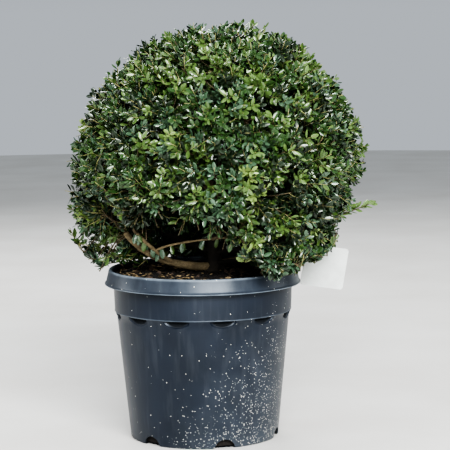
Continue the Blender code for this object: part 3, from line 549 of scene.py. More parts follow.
def moulded_polypropylene(settings):
    """Injection-moulded polypropylene: satin, a bit cloudy, with dried splashes and stuck sand."""
    look = Look("injection_moulded_polypropylene", settings.plastic, 0.42,
                {"Specular IOR Level": 0.42, "Specular Tint": (0.84, 0.93, 1.0, 1)})
    height = look.height_of(look.place)
    # Clouding from handling, 60 mm across
    clouds = look.noise(16.0, 5.0)
    plastic = Vector(settings.plastic)
    cloudy = look.ramp(clouds, (0.32, plastic * 0.82), (0.72, plastic * 1.28))
    # Dried run-off drawn out down the wall, 12 mm wide and 120 mm long
    tall = look.add("Mapping", {"Vector": look.place, "Scale": (1.0, 1.0, 0.1)})
    streaks = look.noise(85.0, 4.0, tall.outputs["Vector"])
    film = look.mix(look.remap(streaks, 0.52, 0.80, 0.0, 0.06), cloudy, rgba("#8b8f92"))
    # Stuck sand: it thickens downwards, towards the front right and, there, close to the foot
    low = look.remap(height, 0.27, 0.0)
    front_right = look.add("VectorMath", {0: look.place, 1: (0.87, -0.50, 0.0)},
                           operation="DOT_PRODUCT")
    right = look.remap(front_right.outputs["Value"], -0.02, 0.17)
    foot = look.remap(height, 0.030, 0.002, 0.0, 0.7)
    patches = look.noise(34.0, 4.0)
    thick = look.math("ADD", look.math("MULTIPLY_ADD", right, foot, low), right)
    cover = look.remap(look.math("ADD", thick, patches), 1.50, 2.60, 0.010, 0.60)
    # Each cell, 2.1 mm wide, has by chance a round grain of up to 1.7 mm: coarse, so that it shows
    cells = look.add("TexVoronoi", {"Vector": look.place, "Scale": 480.0})
    chance = look.add("SeparateColor", {"Color": cells.outputs["Color"]})
    chosen = look.math("LESS_THAN", chance.outputs["Red"], cover)
    size = look.remap(chance.outputs["Green"], 0.0, 1.0, 0.12, 0.40)
    grain = look.math("MULTIPLY", chosen, look.math("LESS_THAN", cells.outputs["Distance"], size))
    dusted = look.mix(look.math("MULTIPLY", cover, 0.20), film, rgba("#828c94"))
    # Bleached and scuffed lip as a faint pale band, with painted highlights as pale lines at the
    # collar's foot and along both lip edges, broken up by the scuffs
    lip_wear_and_edge_highlights = look.grey_ramp(look.remap(height, 0.22, 0.30),
                          ((0.050, 0.0), (0.064, 0.22), (0.085, 0.0), (0.640, 0.0), (0.650, 0.55),
                           (0.668, 0.06), (0.920, 0.06), (0.965, 0.46)))
    scuffed = look.remap(patches, 0.35, 0.65, 0.50, 1.20)
    faded_and_highlit = look.mix(look.math("MULTIPLY", lip_wear_and_edge_highlights, scuffed), dusted, rgba("#96a4b0"))
    sandy = look.mix(grain, faded_and_highlit, (*settings.sand, 1))
    # Painted shade where the surface lies behind the wall's taper: the scallops, drains and inside
    # are darkened to near black and made rough
    flat = look.add("VectorMath", {0: look.place, 1: (1.0, 1.0, 0.0)}, operation="MULTIPLY")
    around = look.add("VectorMath", {0: flat.outputs["Vector"]}, operation="LENGTH")
    taper = look.remap(height, 0.0, BODY_TOP, BASE_RADIUS, BODY_RADIUS, clamp=False)
    behind = look.math("SUBTRACT", taper, around.outputs["Value"])
    painted_recess_shade = look.remap(behind, 0.0006, 0.0030, 0.0, 0.93)
    look.feed("Base Color", look.mix(painted_recess_shade, sandy, rgba("#07090c")))
    look.feed("Roughness", look.math("MAXIMUM", look.remap(clouds, 0.0, 1.0, 0.28, 0.46), painted_recess_shade))
    # Spark-eroded mould grain, drawn at 1.2 mm so that it shows
    look.relief(look.noise(850.0, 2.0), 0.12, 0.0004)
    return look.material


def potting_compost(settings):
    """Moist peat-free compost: near black between crumbs, with brown fibre and pale grit."""
    look = Look("moist_potting_compost", settings.soil, 0.9)
    soil = Vector(settings.soil)
    # Crumbs of 4 mm over wet patches of 40 mm; the crumbs' noise also drives the bump, so the
    # colour is darker in its hollows and lighter on its tops
    crumbs = look.noise(240.0, 6.0)
    brown = look.ramp(crumbs, (0.30, soil * 0.35), (0.55, soil), (0.78, soil * 2.3))
    look.feed("Base Color", look.mix(look.noise(25.0, 2.0), brown, (*(soil * 0.6), 1)))
    look.relief(crumbs, 0.8, 0.0015)
    return look.material


def holly_bark(name, colour, ridge_mm):
    """Thin smooth bark: fawn with olive and grey lichen blooms, cracked in fine long lines."""
    look = Look(name, colour, 0.78)
    tone = Vector(colour)
    patchy = look.ramp(look.noise(70.0, 5.0), (0.30, tone * 0.55), (0.50, tone),
                       (0.66, tone * 1.3), (0.80, tone * 0.8))
    cracks = look.noise(1000.0 / ridge_mm, 5.0, distortion=1.2)
    fine = look.ramp(cracks, (0.35, (0.45, 0.42, 0.38)), (0.62, (1.0, 1.0, 1.0)))
    look.feed("Base Color", look.mix(0.7, patchy, fine, "MULTIPLY"))
    look.relief(cracks, 0.7, 0.0008)
    return look.material


def waxy_leaf(name, hex_colour, roughness):
    """Waxy evergreen holly leaf: plain deep colour under a clear cuticle that mirrors the sky."""
    look = Look(name, linear(hex_colour), roughness,
                {"Specular IOR Level": 0.64, "Specular Tint": (0.93, 1.0, 0.90, 1),
                 "Coat Weight": 0.18, "Coat Roughness": 0.28})
    # Slight puckering of the blade between its veins, 2.5 mm apart
    look.relief(look.noise(400.0, 1.0), 0.25, 0.0006)
    return look.material


def dry_leaf(name, hex_colour):
    """Fallen holly leaf, dried to a matt fawn."""
    look = Look(name, linear(hex_colour), 0.7)
    tone = Vector(linear(hex_colour))
    look.mottle(300.0, 3.0, (0.35, tone * 0.55), (0.65, tone * 1.15))
    return look.material


def label_sheet(settings):
    """Printed-label polypropylene sheet, left blank: white, silky, faintly dusty."""
    look = Look("white_polypropylene_sheet", settings.sheet, 0.38)
    white = Vector(settings.sheet)
    look.mottle(60.0, 6.0, (0.35, white), (0.75, white * 0.86))
    return look.material


def pale_floor():
    """Matt pale studio floor."""
    look = Look("matt_studio_floor", linear("#c9c7c2"), 0.85)
    look.mottle(3.0, 3.0, (0.3, linear("#c4c2bd")), (0.7, linear("#cecdc9")))
    return look.material


# --- pot -------------------------------------------------------------------------

def arc(centre, radius, start, end, steps):
    """Points on an arc of a turned profile, angles in degrees from outwards towards up."""
    angles = np.radians(np.linspace(start, end, steps))
    return [(centre[0] + radius * math.cos(a), centre[1] + radius * math.sin(a)) for a in angles]


def pot_profile(settings):
    """The pot's wall as (radius, height): down the outside, and up the inside."""
    top = POT_HIGH.z
    lip_foot = top - settings.lip_depth
    lip_top = LIP_RADIUS - LIP_TOP_INSET
    rim = (lip_top - LIP_TOP_ROUNDING, top - LIP_TOP_ROUNDING)
    wall = settings.wall
    # The lip: its rim, its slope, its lower edge and the step back to the collar
    outside = arc(rim, LIP_TOP_ROUNDING, 90, 8, 7)
    outside += [(lip_top + 0.0044, lip_foot + 0.0062), (LIP_RADIUS - 0.0014, lip_foot + 0.0034)]
    outside += arc((LIP_RADIUS - LIP_EDGE_ROUNDING, lip_foot + LIP_EDGE_ROUNDING),
                   LIP_EDGE_ROUNDING, 60, -90, 7)
    outside += [(LIP_RADIUS - 0.0052, lip_foot), (LIP_RADIUS - 0.0056, lip_foot + 0.004)]
    # The collar, and the body from under it down to the rounded foot
    outside += [(COLLAR_TOP_RADIUS, lip_foot + 0.004), (COLLAR_TOP_RADIUS, lip_foot - 0.002)]
    outside += [(COLLAR_RADIUS + 0.0006, COLLAR_END + 0.0016)]
    outside += arc((COLLAR_RADIUS - 0.0004, COLLAR_END), COLLAR_ROUNDING, 45, -60, 5)
    outside += [(BODY_RADIUS + 0.0012, BODY_TOP + 0.0012), (BODY_RADIUS, BODY_TOP - 0.001)]
    heights = np.linspace(BODY_TOP - 0.008, FOOT_ROUNDING + 0.002, 12)
    taper = (BODY_RADIUS - BASE_RADIUS) / (BODY_TOP - FOOT_ROUNDING)
    outside += [(BASE_RADIUS + taper * (height - FOOT_ROUNDING), height) for height in heights]
    outside += arc((BASE_RADIUS - FOOT_ROUNDING, FOOT_ROUNDING), FOOT_ROUNDING, 0, -90, 5)
    # The wall is thicker behind the scallops
    inside = [(0.0, wall), (BASE_RADIUS - 2 * wall, wall), (BODY_RADIUS - 3 * wall, BODY_TOP),
              (BODY_RADIUS - 3 * wall, COLLAR_END + 0.002),
              (COLLAR_RADIUS - wall, COLLAR_END + 0.010), (COLLAR_TOP_RADIUS - wall, lip_foot)]
    inside += arc(rim, LIP_TOP_ROUNDING, 172, 96, 4)
    return outside + [(0.0, 0.0)], inside


def spun_solid(name, profile, steps):
    """Turn a profile about the pot's axis in edit mode, and close it."""
    mesh = bpy.data.meshes.new(name)
    points = [(radius, 0, height) for radius, height in profile]
    mesh.from_pydata(points, [(i, i + 1) for i in range(len(points) - 1)], [])
    made = link_new(name, mesh)
    edit_all(made)
    bpy.ops.mesh.spin(steps=steps, angle=math.tau, center=(0, 0, 0), axis=(0, 0, 1))
    merge_and_face_out(0.00002)
    return made


def cut(pot, cutter, degrees, radius, height):
    """Set a cutter about the axis at an azimuth, and take it out of the pot."""
    place = Matrix.Translation(polar(radius, degrees, height))
    cutter.data.transform(place @ Matrix.Rotation(math.radians(degrees), 4, "Z"))
    apply_modifier(pot, "BOOLEAN", operation="DIFFERENCE", object=cutter)
    bpy.data.objects.remove(cutter)


def drain_cutter(settings):
    """A rod along the radius, squeezed to the arch of a drain opening."""
    bpy.ops.mesh.primitive_cylinder_add(vertices=40, radius=1, depth=DRAIN_CUT)
    rod = bpy.context.object
    squeeze = Matrix.Diagonal((settings.notch_height, settings.notch_width / 2, 1, 1))
    rod.data.transform(Matrix.Rotation(math.pi / 2, 4, "Y") @ squeeze)
    return rod


def scallop_cutter(settings):
    """The lower half of a flattened ball: deepest under the collar, and fading out downwards."""
    bpy.ops.mesh.primitive_uv_sphere_add(segments=36, ring_count=18, radius=1)
    ball = bpy.context.object
    edit_all(ball)
    bpy.ops.mesh.bisect(plane_co=(0, 0, 0), plane_no=(0, 0, 1), use_fill=True, clear_outer=True)
    bpy.ops.object.mode_set(mode="OBJECT")
    ball.data.transform(Matrix.Diagonal((SCALLOP_DEPTH, SCALLOP_HALF_WIDTH,
                                         settings.scallop_height, 1)))
    return ball


class HOLLY_OT_pot(Operator):
    """Turn the nursery pot, and cut its drain openings and the scallops under its collar"""
    bl_idname = "holly.pot"
    bl_label = "Nursery Pot"

    def execute(self, context):
        settings = context.scene.holly_pot
        outside, inside = pot_profile(settings)
        pot = spun_solid("nursery_pot", outside + inside + outside[:1], POT_STEPS)
        for i in range(DRAIN_COUNT):
            azimuth = FIRST_DRAIN + 360 / DRAIN_COUNT * i
            cut(pot, drain_cutter(settings), azimuth, BASE_RADIUS, 0)
        for i in range(SCALLOP_COUNT):
            azimuth = FIRST_SCALLOP + 360 / SCALLOP_COUNT * i
            cut(pot, scallop_cutter(settings), azimuth, SCALLOP_RADIUS, SCALLOP_LEVEL)
        finish(pot, moulded_polypropylene(settings), ["pot"], 32)
        return {"FINISHED"}


# --- compost ---------------------------------------------------------------------

def compost_height(share):
    """Height of the compost's top at a share of its radius."""
    beyond = np.clip(share - COMPOST_LEVEL_SHARE, 0, 1)
    return COMPOST_TOP - COMPOST_DIP * beyond / (1 - COMPOST_LEVEL_SHARE)


def scattered(rng, count, radius, hollow=0.0):
    """Even random places in a disc about the pot's axis, or in a ring from its hollow share on."""
    reach = radius * np.sqrt(rng.uniform(hollow ** 2, 1, count))
    azimuth = rng.uniform(0, math.tau, count)
    return np.stack([reach * np.cos(azimuth), reach * np.sin(azimuth)], axis=1)


def random_turns(rng, count):
    """Random rotation matrices."""
    first = unit(rng.normal(size=(count, 3)))
    second = rng.normal(size=(count, 3))
    second = unit(second - first * np.sum(first * second, axis=1, keepdims=True))
    return np.stack([first, second, np.cross(first, second)], axis=2)


def crumb_mesh(name, rng, count, low, high):
    """Irregular clods, each a squeezed and chipped ball of twenty faces."""
    bpy.ops.mesh.primitive_ico_sphere_add(subdivisions=1, radius=1)
    ball = bpy.context.object
    corners = np.array([vertex.co for vertex in ball.data.vertices])
    faces = np.array([face.vertices for face in ball.data.polygons])
    bpy.data.objects.remove(ball)
    shapes = corners[None] * rng.uniform(*CRUMB_CHIPPING, (count, len(corners), 1))
    shapes = shapes * rng.uniform(*CRUMB_SQUEEZE, (count, 1, 3))
    sizes = low + (high - low) * rng.uniform(0, 1, count) ** 3
    shapes = np.einsum("nij,nkj->nki", random_turns(rng, count), shapes) * sizes[:, None, None]
    flat = scattered(rng, count, CRUMB_RADIUS)
    height = compost_height(np.linalg.norm(flat, axis=1) / CRUMB_DISH_RADIUS)
    places = np.column_stack([flat, height + sizes * CRUMB_RISE])
    points = (shapes + places[:, None]).reshape(-1, 3)
    joined = (faces[None] + np.arange(count)[:, None, None] * len(corners)).reshape(-1, 3)
    return mesh_object(name, points, joined, smooth=False)


def compost_body():
    """The compost's turned body, with a lumpy top."""
    profile = [(COMPOST_RADIUS * i / COMPOST_RINGS, compost_height(i / COMPOST_RINGS))
               for i in range(COMPOST_RINGS + 1)]
    body = spun_solid("compost_body", profile + list(COMPOST_SIDE), COMPOST_STEPS)
    top = body.vertex_groups.new(name="top")
    loose = [vertex.index for vertex in body.data.vertices
             if vertex.co.z > COMPOST_TOP - COMPOST_LOOSE_DEPTH]
    top.add(loose, 1, "ADD")
    for size, height in COMPOST_LUMPS:
        roughen(body, "compost_lumps", size, strength=height, mid_level=0.42, direction="Z",
                vertex_group="top")
    return body


def litter_mesh(rng, count):
    """Dry leaves lying on the compost, thickest at the front left."""
    places = scattered(rng, count, LITTER_RADIUS)
    front = scattered(rng, count * 2, FRONT_LITTER_RADIUS, FRONT_LITTER_HOLLOW)
    front = front[np.all(front < FRONT_LITTER_LIMIT, axis=1)]
    places = np.concatenate([places, front])
    count = len(places)
    roots = np.column_stack([places, COMPOST_TOP + rng.uniform(*LITTER_HEIGHTS, count)])
    heading = rng.uniform(0, math.tau, count)
    along = unit(np.column_stack([np.cos(heading), np.sin(heading),
                                  rng.uniform(*LITTER_RISE, count)]))
    facing = unit(rng.normal(0, LITTER_TILT, (count, 3)) + np.array([0, 0, 1.0]))
    lengths = rng.uniform(*LITTER_LENGTHS, count)
    curl = rng.uniform(*LITTER_CURLS, count)
    return mesh_object("leaf_litter", *leaf_arrays(roots, along, facing, lengths,
                                                   LITTER_SLENDERNESS, curl))


class HOLLY_OT_compost(Operator):
    """Rough up the compost, and scatter crumbs, chips and dry leaves over it"""
    bl_idname = "holly.compost"
    bl_label = "Compost"

    def execute(self, context):
        settings = context.scene.holly_compost
        rng = np.random.default_rng(21)
        soil = potting_compost(settings)
        finish(compost_body(), soil, ["compost"], 60)
        crumbs = crumb_mesh("compost_crumbs", rng, settings.crumbs, *CRUMB_SIZES)
        finish(crumbs, soil)
        chips = crumb_mesh("bark_chips", rng, settings.crumbs // CRUMBS_PER_CHIP, *CHIP_SIZES)
        finish(chips, holly_bark("composted_bark_chip", linear("#4a3c30"), 2.0))
        litter = litter_mesh(rng, settings.litter)
        finish(litter, dry_leaf("dry_holly_leaf", "#8f7c5c"))
        return {"FINISHED"}


# --- limbs -----------------------------------------------------------------------

def bend(start, control, end, steps):
    """Points along a quadratic curve, for one route or for an array of them."""
    share = np.linspace(0, 1, steps + 1)[:, None]
    start, control, end = (np.asarray(point, float)[..., None, :]
                           for point in (start, control, end))
    return (1 - share) ** 2 * start + 2 * share * (1 - share) * control + share ** 2 * end


class Limb:
    """A tapering limb on the route that its solid has."""

    def __init__(self, name, start, control, end, start_radius, tip_radius):
        self.name = name
        self.route = bend(start, control, end, LIMB_STEPS)
        self.radii = np.linspace(start_radius, tip_radius, LIMB_STEPS + 1)

    def at(self, share):
        return Vector(self.route[round(share * (len(self.route) - 1))])


def core_entry(x, y):
    """Height at which boughs enter the dense foliage over a place on the ground."""
    return CROWN_FOOT + CROWN_FOOT_SLOPE[0] * x + CROWN_FOOT_SLOPE[1] * y + CORE_DEPTH


def bough(name, trunk, height, degrees, reach, radii, tip_height=None, bow=(0.45, 0.35)):
    """A bough from the trunk at a height, out at an azimuth, that steepens by its bow."""
    start = trunk.at((height - TRUNK_FOOT.z) / (TRUNK_TOP.z - TRUNK_FOOT.z))
    end = start + polar(reach, degrees)
    end.z = tip_height or core_entry(end.x, end.y)
    control = start + polar(reach * bow[0], degrees, (end.z - start.z) * bow[1])
    return Limb(name, start, control, end, *radii)


def plan_limbs():
    """Trunk and boughs as the solids have them: those of the ball, and the low ones."""
    middle = TRUNK_FOOT.lerp(TRUNK_TOP, 0.5) + Vector((0.004, 0, 0))
    trunk = Limb("trunk", TRUNK_FOOT, middle, TRUNK_TOP + UP * 0.003, *TRUNK_RADII)
    left = bough("bough_left", trunk, 0.299, 201, 0.165, (0.0078, 0.0054), bow=(0.72, 0.04))
    fork_end = Vector((*FORK_END, core_entry(*FORK_END)))
    fork = Limb("bough_left_fork", left.at(0.36), (-0.074, -0.052, 0.324), fork_end,
                0.0042, 0.0032)
    twig_end = Vector((*FRONT_TWIG_END, core_entry(*FRONT_TWIG_END)))
    leader_top = Vector((CROWN_CENTRE.x - 0.004, 0.003, LEADER_HEIGHT))
    ball = [
        left, fork,
        Limb("front_twig", fork.at(0.55), (-0.045, -0.088, 0.357), twig_end, 0.0022, 0.0018),
        bough("bough_right", trunk, 0.322, -24, 0.150, (0.0062, 0.0046)),
        bough("bough_back", trunk, 0.324, 62, 0.145, (0.0064, 0.0046)),
        bough("bough_back_left", trunk, 0.324, 138, 0.150, (0.0062, 0.0046)),
        Limb("leader", TRUNK_TOP - UP * 0.004, TRUNK_TOP.lerp(leader_top, 0.5), leader_top,
             TRUNK_RADII[1], 0.0078),
    ]
    low = [
        bough("bough_low_front", trunk, 0.304, -54, 0.142, (0.0048, 0.0034), 0.332),
        bough("bough_low_right", trunk, 0.303, 14, 0.220, (0.0056, 0.0030), 0.350),
        bough("bough_low_back", trunk, 0.303, 104, 0.150, (0.0050, 0.0034), 0.318),
    ]
    return trunk, ball, low


def spread_roots(mesh):
    """Push the foot of the trunk out into root lobes, level underneath."""
    for vertex in mesh.vertices:
        height = vertex.co.z - TRUNK_FOOT.z
        arm = Vector((vertex.co.x - TRUNK_FOOT.x, vertex.co.y - TRUNK_FOOT.y, 0))
        if arm.length > 0.001:
            lobe = 0.55 + 0.45 * math.cos(ROOT_LOBES * math.atan2(arm.y, arm.x))
            fade = math.exp(-max(height, 0) / ROOT_FADE)
            vertex.co += arm.normalized() * ROOT_SPREAD * lobe * fade


def limb_mesh(limb, relief):
    """A bevelled curve along the limb, made a mesh, with knuckles and ridges raised on it."""
    curve = bpy.data.curves.new(limb.name + "_bark", "CURVE")
    curve.dimensions = "3D"
    curve.bevel_depth = 1.0
    curve.bevel_resolution = 8
    curve.use_fill_caps = True
    spline = curve.splines.new("POLY")
    spline.points.add(len(limb.route) - 1)
    for point, place, radius in zip(spline.points, limb.route, limb.radii):
        point.co = (*place, 1)
        point.radius = radius
    select_only(link_new(limb.name + "_bark", curve))
    bpy.ops.object.convert(target="MESH")
    made = bpy.context.object
    edit_all(made)
    merge_and_face_out(0.00001)
    if limb.name == "trunk":
        spread_roots(made.data)
    thickness = min(1.0, limb.radii[0] / FULL_BARK_RADIUS)
    for size, height in BARK_RIDGES:
        roughen(made, "bark_ridges", size, strength=relief * height * thickness, mid_level=0.55)
    return made


class HOLLY_OT_limbs(Operator):
    """Model the trunk and boughs with raised bark, in place of their plain solids"""
    bl_idname = "holly.limbs"
    bl_label = "Trunk and Boughs"

    def execute(self, context):
        settings = context.scene.holly_limbs
        weathered = holly_bark("weathered_holly_bark", settings.bark, 2.2)
        shade_painted_bark = holly_bark("damp_holly_bark", settings.damp_bark, 2.2)
        trunk, ball, low = plan_limbs()
        for limb in [trunk] + ball + low:
            # Painted shade: limbs outside the open arch get the darker bark
            bark = weathered if limb.name in OPEN_LIMBS else shade_painted_bark
            finish(limb_mesh(limb, settings.relief), bark, [limb.name], 50)
        return {"FINISHED"}


# --- the crown's space -------------------------------------------------------------

def crown_reach(directions):
    """Distance from the crown's centre to its clipped surface, along unit directions."""
    flat = np.hypot(directions[..., 0], directions[..., 1])
    reach = 1 / np.hypot(flat / CROWN_RADIUS, directions[..., 2] / CROWN_HALF_HEIGHT)
    for azimuth, elevation, spread, height in CROWN_BULGES:
        rise = math.radians(elevation)
        heart = np.array(polar(math.cos(rise), azimuth, math.sin(rise)))
        angle = np.arccos(np.clip(directions @ heart, -1, 1))
        reach = reach + height * np.exp(-(angle / math.radians(spread)) ** 2)
    azimuths = np.arctan2(directions[..., 1], directions[..., 0])
    elevations = np.arcsin(np.clip(directions[..., 2], -1, 1))
    return reach + CROWN_RIPPLE * np.sin(5 * azimuths + 1) * np.cos(4 * elevations)


def tufts(directions):
    """Height of the tufts that grow between one clip and the next, along unit directions."""
    rng = np.random.default_rng(3)
    waves = unit(rng.normal(size=(TUFT_WAVES, 3))) * rng.uniform(*TUFT_SPAN, (TUFT_WAVES, 1))
    starts = rng.uniform(0, math.tau, TUFT_WAVES)
    return TUFT_HEIGHT * np.sin(directions @ waves.T + starts).sum(axis=-1) / math.sqrt(TUFT_WAVES)


def depth_in_crown(points):
    """How far inside the ball's clipped surface each point lies."""
    arms = points - np.array(CROWN_CENTRE)
    return crown_reach(unit(arms)) - np.linalg.norm(arms, axis=-1)


def above_foot(points):
    """Height of each point over the ball's lowest leaves."""
    slope = CROWN_FOOT_SLOPE[0] * points[..., 0] + CROWN_FOOT_SLOPE[1] * points[..., 1]
    return points[..., 2] - CROWN_FOOT - slope


def azimuth_and_reach(arms):
    """Azimuth in degrees, and distance from the upright axis."""
    azimuths = np.degrees(np.arctan2(arms[..., 1], arms[..., 0]))
    return azimuths, np.hypot(arms[..., 0], arms[..., 1])


def leaf_foot(points):
    """Height of the lowest leaves at each point's azimuth and distance from the crown's axis."""
    arms = points - np.array(CROWN_CENTRE)
    azimuths, reach = azimuth_and_reach(arms)
    round_rim = np.interp(azimuths, *np.array(LEAF_FOOT).T, period=360)
    share = np.clip((reach - HOLLOW_RADIUS) / (RING_RADIUS - HOLLOW_RADIUS), 0, 1)
    flare = FLARE_SLOPE * np.maximum(reach - FLARE_RADIUS, 0)
    return HOLLOW_FOOT + (round_rim - HOLLOW_FOOT) * share + flare + tufts(unit(arms))


def in_ball(points, skin=0.0):
    return ((above_foot(points) > 0) & (depth_in_crown(points) > skin)
            & (points[..., 2] > leaf_foot(points)))


def clear_of_pot(points):
    outside = np.hypot(points[..., 0], points[..., 1]) > LIP_RADIUS + POT_CLEARANCE
    return (points[..., 2] > POT_HIGH.z + POT_CLEARANCE) | outside


def in_skirt(points, skirt, widen=0.0):
    """Whether points are in a skirt's sector, widened by some degrees, and outside the ball."""
    azimuth, half_angle, reach, top = skirt[:4]
    azimuths, reaches = azimuth_and_reach(points - np.array(CROWN_CENTRE))
    turns = np.abs((azimuths - azimuth + 180) % 360 - 180)
    outside_ball = (above_foot(points) < 0) | (depth_in_crown(points) < 0)
    return ((turns < half_angle + widen) & (points[..., 2] > SKIRT_FOOT) & (points[..., 2] < top)
            & (reaches < reach) & outside_ball & (points[..., 2] > leaf_foot(points))
            & clear_of_pot(points))


def clear_of_label(points):
    low = np.array(LABEL_LOW) - LABEL_CLEARANCE
    high = np.array(LABEL_HIGH) + LABEL_CLEARANCE
    return ~np.all((points > low) & (points < high), axis=-1)


def clear_of_limbs(points, limbs):
    clear = np.ones(points.shape[:-1], bool)
    for limb in limbs:
        for place, radius in zip(limb.route[::3], limb.radii[::3]):
            clear &= np.linalg.norm(points - place, axis=-1) > radius + LIMB_CLEARANCE
    return clear


# --- wood ----------------------------------------------------------------------------

def spiral_directions(count, lowest):
    """Even directions on a sphere from straight up down to a given rise."""
    index = np.arange(count)
    rise = 1 - (1 - lowest) * (index + 0.5) / count
    azimuth = index * GOLDEN_ANGLE
    flat = np.sqrt(1 - rise ** 2)
    return np.stack([flat * np.cos(azimuth), flat * np.sin(azimuth), rise], axis=1)


def random_lean(rng, directions, lean):
    return unit(directions + rng.normal(0, lean, directions.shape))


class Joints:
    """Places on the wood that later growth may start from, and the way the wood runs there."""

    def __init__(self, places, directions):
        self.places = places
        self.directions = directions

    @classmethod
    def on_routes(cls, routes, first):
        """The points of each route from a given index on."""
        steps = unit(np.diff(routes, axis=-2))
        directions = np.concatenate([steps, steps[..., -1:, :]], axis=-2)
        return cls(routes[..., first:, :].reshape(-1, 3), directions[..., first:, :].reshape(-1, 3))

    @classmethod
    def on_limbs(cls, limbs, first):
        """The eighths of each limb's route from a given one on."""
        return cls.on_routes(np.stack([limb.route[::ROUTE_STRIDE] for limb in limbs]), first)

    def joined(self, other):
        return Joints(np.concatenate([self.places, other.places]),
                      np.concatenate([self.directions, other.directions]))

    def grow_to(self, targets, bow, steps):
        """A curved route to each target from the joint that lies best for it."""
        gaps = np.linalg.norm(targets[:, None] - self.places[None], axis=2)
        centre = np.array(CROWN_CENTRE)
        outwards = (np.linalg.norm(self.places - centre, axis=1)[None]
                    - np.linalg.norm(targets - centre, axis=1)[:, None])
        best = np.argmin(gaps + OUTWARD_COST * np.maximum(outwards, 0), axis=1)
        starts = self.places[best]
        lengths = np.linalg.norm(targets - starts, axis=1, keepdims=True)
        controls = starts + self.directions[best] * lengths * bow
        return bend(starts, controls, targets, steps)


def tube_arrays(routes, start_radius, tip_radius, sides):
    """Points and triangles of closed tapering tubes along routes of equal length."""
    count, rings = routes.shape[:2]
    steps = np.diff(routes, axis=1)
    middle = steps[:, :-1] + steps[:, 1:]
    along = unit(np.concatenate([steps[:, :1], middle, steps[:, -1:]], axis=1))
    seed = np.where(np.abs(along[:, :1, 2:]) < 0.8, [[[0, 0, 1.0]]], [[[1.0, 0, 0]]])
    first = np.broadcast_to(unit(np.cross(along[:, :1], seed)), along.shape)
    first = unit(first - along * np.sum(first * along, axis=2, keepdims=True))
    second = np.cross(along, first)
    share = np.linspace(0, 1, rings)[None, :, None, None]
    radii = start_radius * (1 - share) + tip_radius * share
    turns = np.arange(sides) * math.tau / sides
    ring = (first[:, :, None] * np.cos(turns)[None, None, :, None]
            + second[:, :, None] * np.sin(turns)[None, None, :, None])
    points = (routes[:, :, None] + ring * radii).reshape(-1, 3)
    faces = []
    for k in range(rings - 1):
        for s in range(sides):
            a, b = k * sides + s, k * sides + (s + 1) % sides
            faces += [(a, b, b + sides), (a, b + sides, a + sides)]
    last = (rings - 1) * sides
    faces += [(0, s + 1, s) for s in range(1, sides - 1)]
    faces += [(last, last + s, last + s + 1) for s in range(1, sides - 1)]
    offsets = np.arange(count)[:, None, None] * rings * sides
    return points, (np.array(faces)[None] + offsets).reshape(-1, 3)


def wood_piece(kind, routes, material, nodes=(), suffix=""):
    """All the wood of one kind as one piece, or one numbered part of it."""
    piece = mesh_object(kind + suffix, *tube_arrays(routes, *WOOD_SIZES[kind]))
    finish(piece, material, nodes)


# --- shoots and leaves ---------------------------------------------------------------

class Spray:
    """Shoots as arrays: start, end, leaf tone, how near the skin they may come, and their twig."""
    PARTS = ("starts", "ends", "tones", "skins", "twigs")

    def __init__(self, *arrays):
        for part, array in zip(self.PARTS, arrays, strict=True):
            setattr(self, part, array)

    def only(self, keep):
        return Spray(*(getattr(self, part)[keep] for part in self.PARTS))

    @classmethod
    def joined(cls, sprays):
        return cls(*(np.concatenate([getattr(spray, part) for spray in sprays])
                     for part in cls.PARTS))


def deal_tones(rng, places):
    """A tone for each spray: by chance, yellower towards the top as painted sunlight, and cooler
    low down as painted shade.
    """
    shares = np.array([tone[3] for tone in LEAF_TONES])
    chance = np.cumsum(shares / shares.sum())
    rise = np.clip((places[:, 2] - CROWN_CENTRE.z) / CROWN_HALF_HEIGHT, -0.5, 1)
    draw = rng.uniform(0, 1, len(places))
    draw = np.where(draw > chance[-2], draw, np.clip(draw + SUN_SHIFT * rise, 0, chance[-2]))
    tones = np.searchsorted(chance, draw)
    shade_cooled = rng.uniform(0, 1, len(places)) < SHADE_SHARE
    return np.where((tones == GREEN) & (places[:, 2] < SHADE_TOP) & shade_cooled, COOL, tones)


def shoots_on(rng, twigs, tones, inside, outward_from, lengths):
    """One shoot that carries each twig on, and side shoots set round it."""
    count = len(twigs)
    steps = twigs.shape[1] - 1
    way = unit(twigs[:, -1] - twigs[:, -2])
    out = unit(twigs[:, -1] - outward_from)
    rows = np.arange(count)
    proud = rng.uniform(0, 1, count) < PROUD_SHARE
    skins = rng.uniform(*SHOOT_SKINS, count) - tufts(out) - PROUD_HEIGHT * proud
    first = rng.uniform(*lengths, (count, 1)) + PROUD_HEIGHT * proud[:, None]
    ends = twigs[:, -1] + random_lean(rng, way + out, MAIN_LEAN) * first
    made = [Spray(twigs[:, -1], ends, tones, skins, rows)]
    onwards, outwards, sideways = SIDE_WAY
    for k in range(SIDE_SHOOTS):
        share = steps * (SIDE_START + SIDE_SPAN * k / (SIDE_SHOOTS - 1))
        at = min(int(share), steps - 1)
        starts = twigs[:, at] + (twigs[:, at + 1] - twigs[:, at]) * (share - at)
        aside = unit(np.cross(way, rng.normal(size=way.shape)))
        heading = way * onwards + out * outwards + aside * sideways
        heading = random_lean(rng, heading, SIDE_LEAN)
        ends = starts + heading * rng.uniform(*lengths, (count, 1))
        made.append(Spray(starts, ends, tones, skins, rows))
    spray = Spray.joined(made)
    return spray.only(inside(spray.ends, spray.skins))


def leaf_arrays(roots, along, facing, lengths, slenderness, curl):
    """Points and triangles of convex elliptical leaves, each on its root, way and facing."""
    across = unit(np.cross(facing, along))
    upper = np.cross(along, across)
    outline = np.array(LEAF_OUTLINE)
    widths = lengths * slenderness
    heights = lengths * curl * LEAF_CURVE
    points = (roots[:, None]
              + along[:, None] * outline[None, :, :1] * lengths[:, None, None]
              + across[:, None] * outline[None, :, 1:2] * widths[:, None, None]
              + upper[:, None] * outline[None, :, 2:] * heights[:, None, None])
    offsets = np.arange(len(roots))[:, None, None] * len(outline)
    return points.reshape(-1, 3), (np.array(LEAF_FACES)[None] + offsets).reshape(-1, 3)


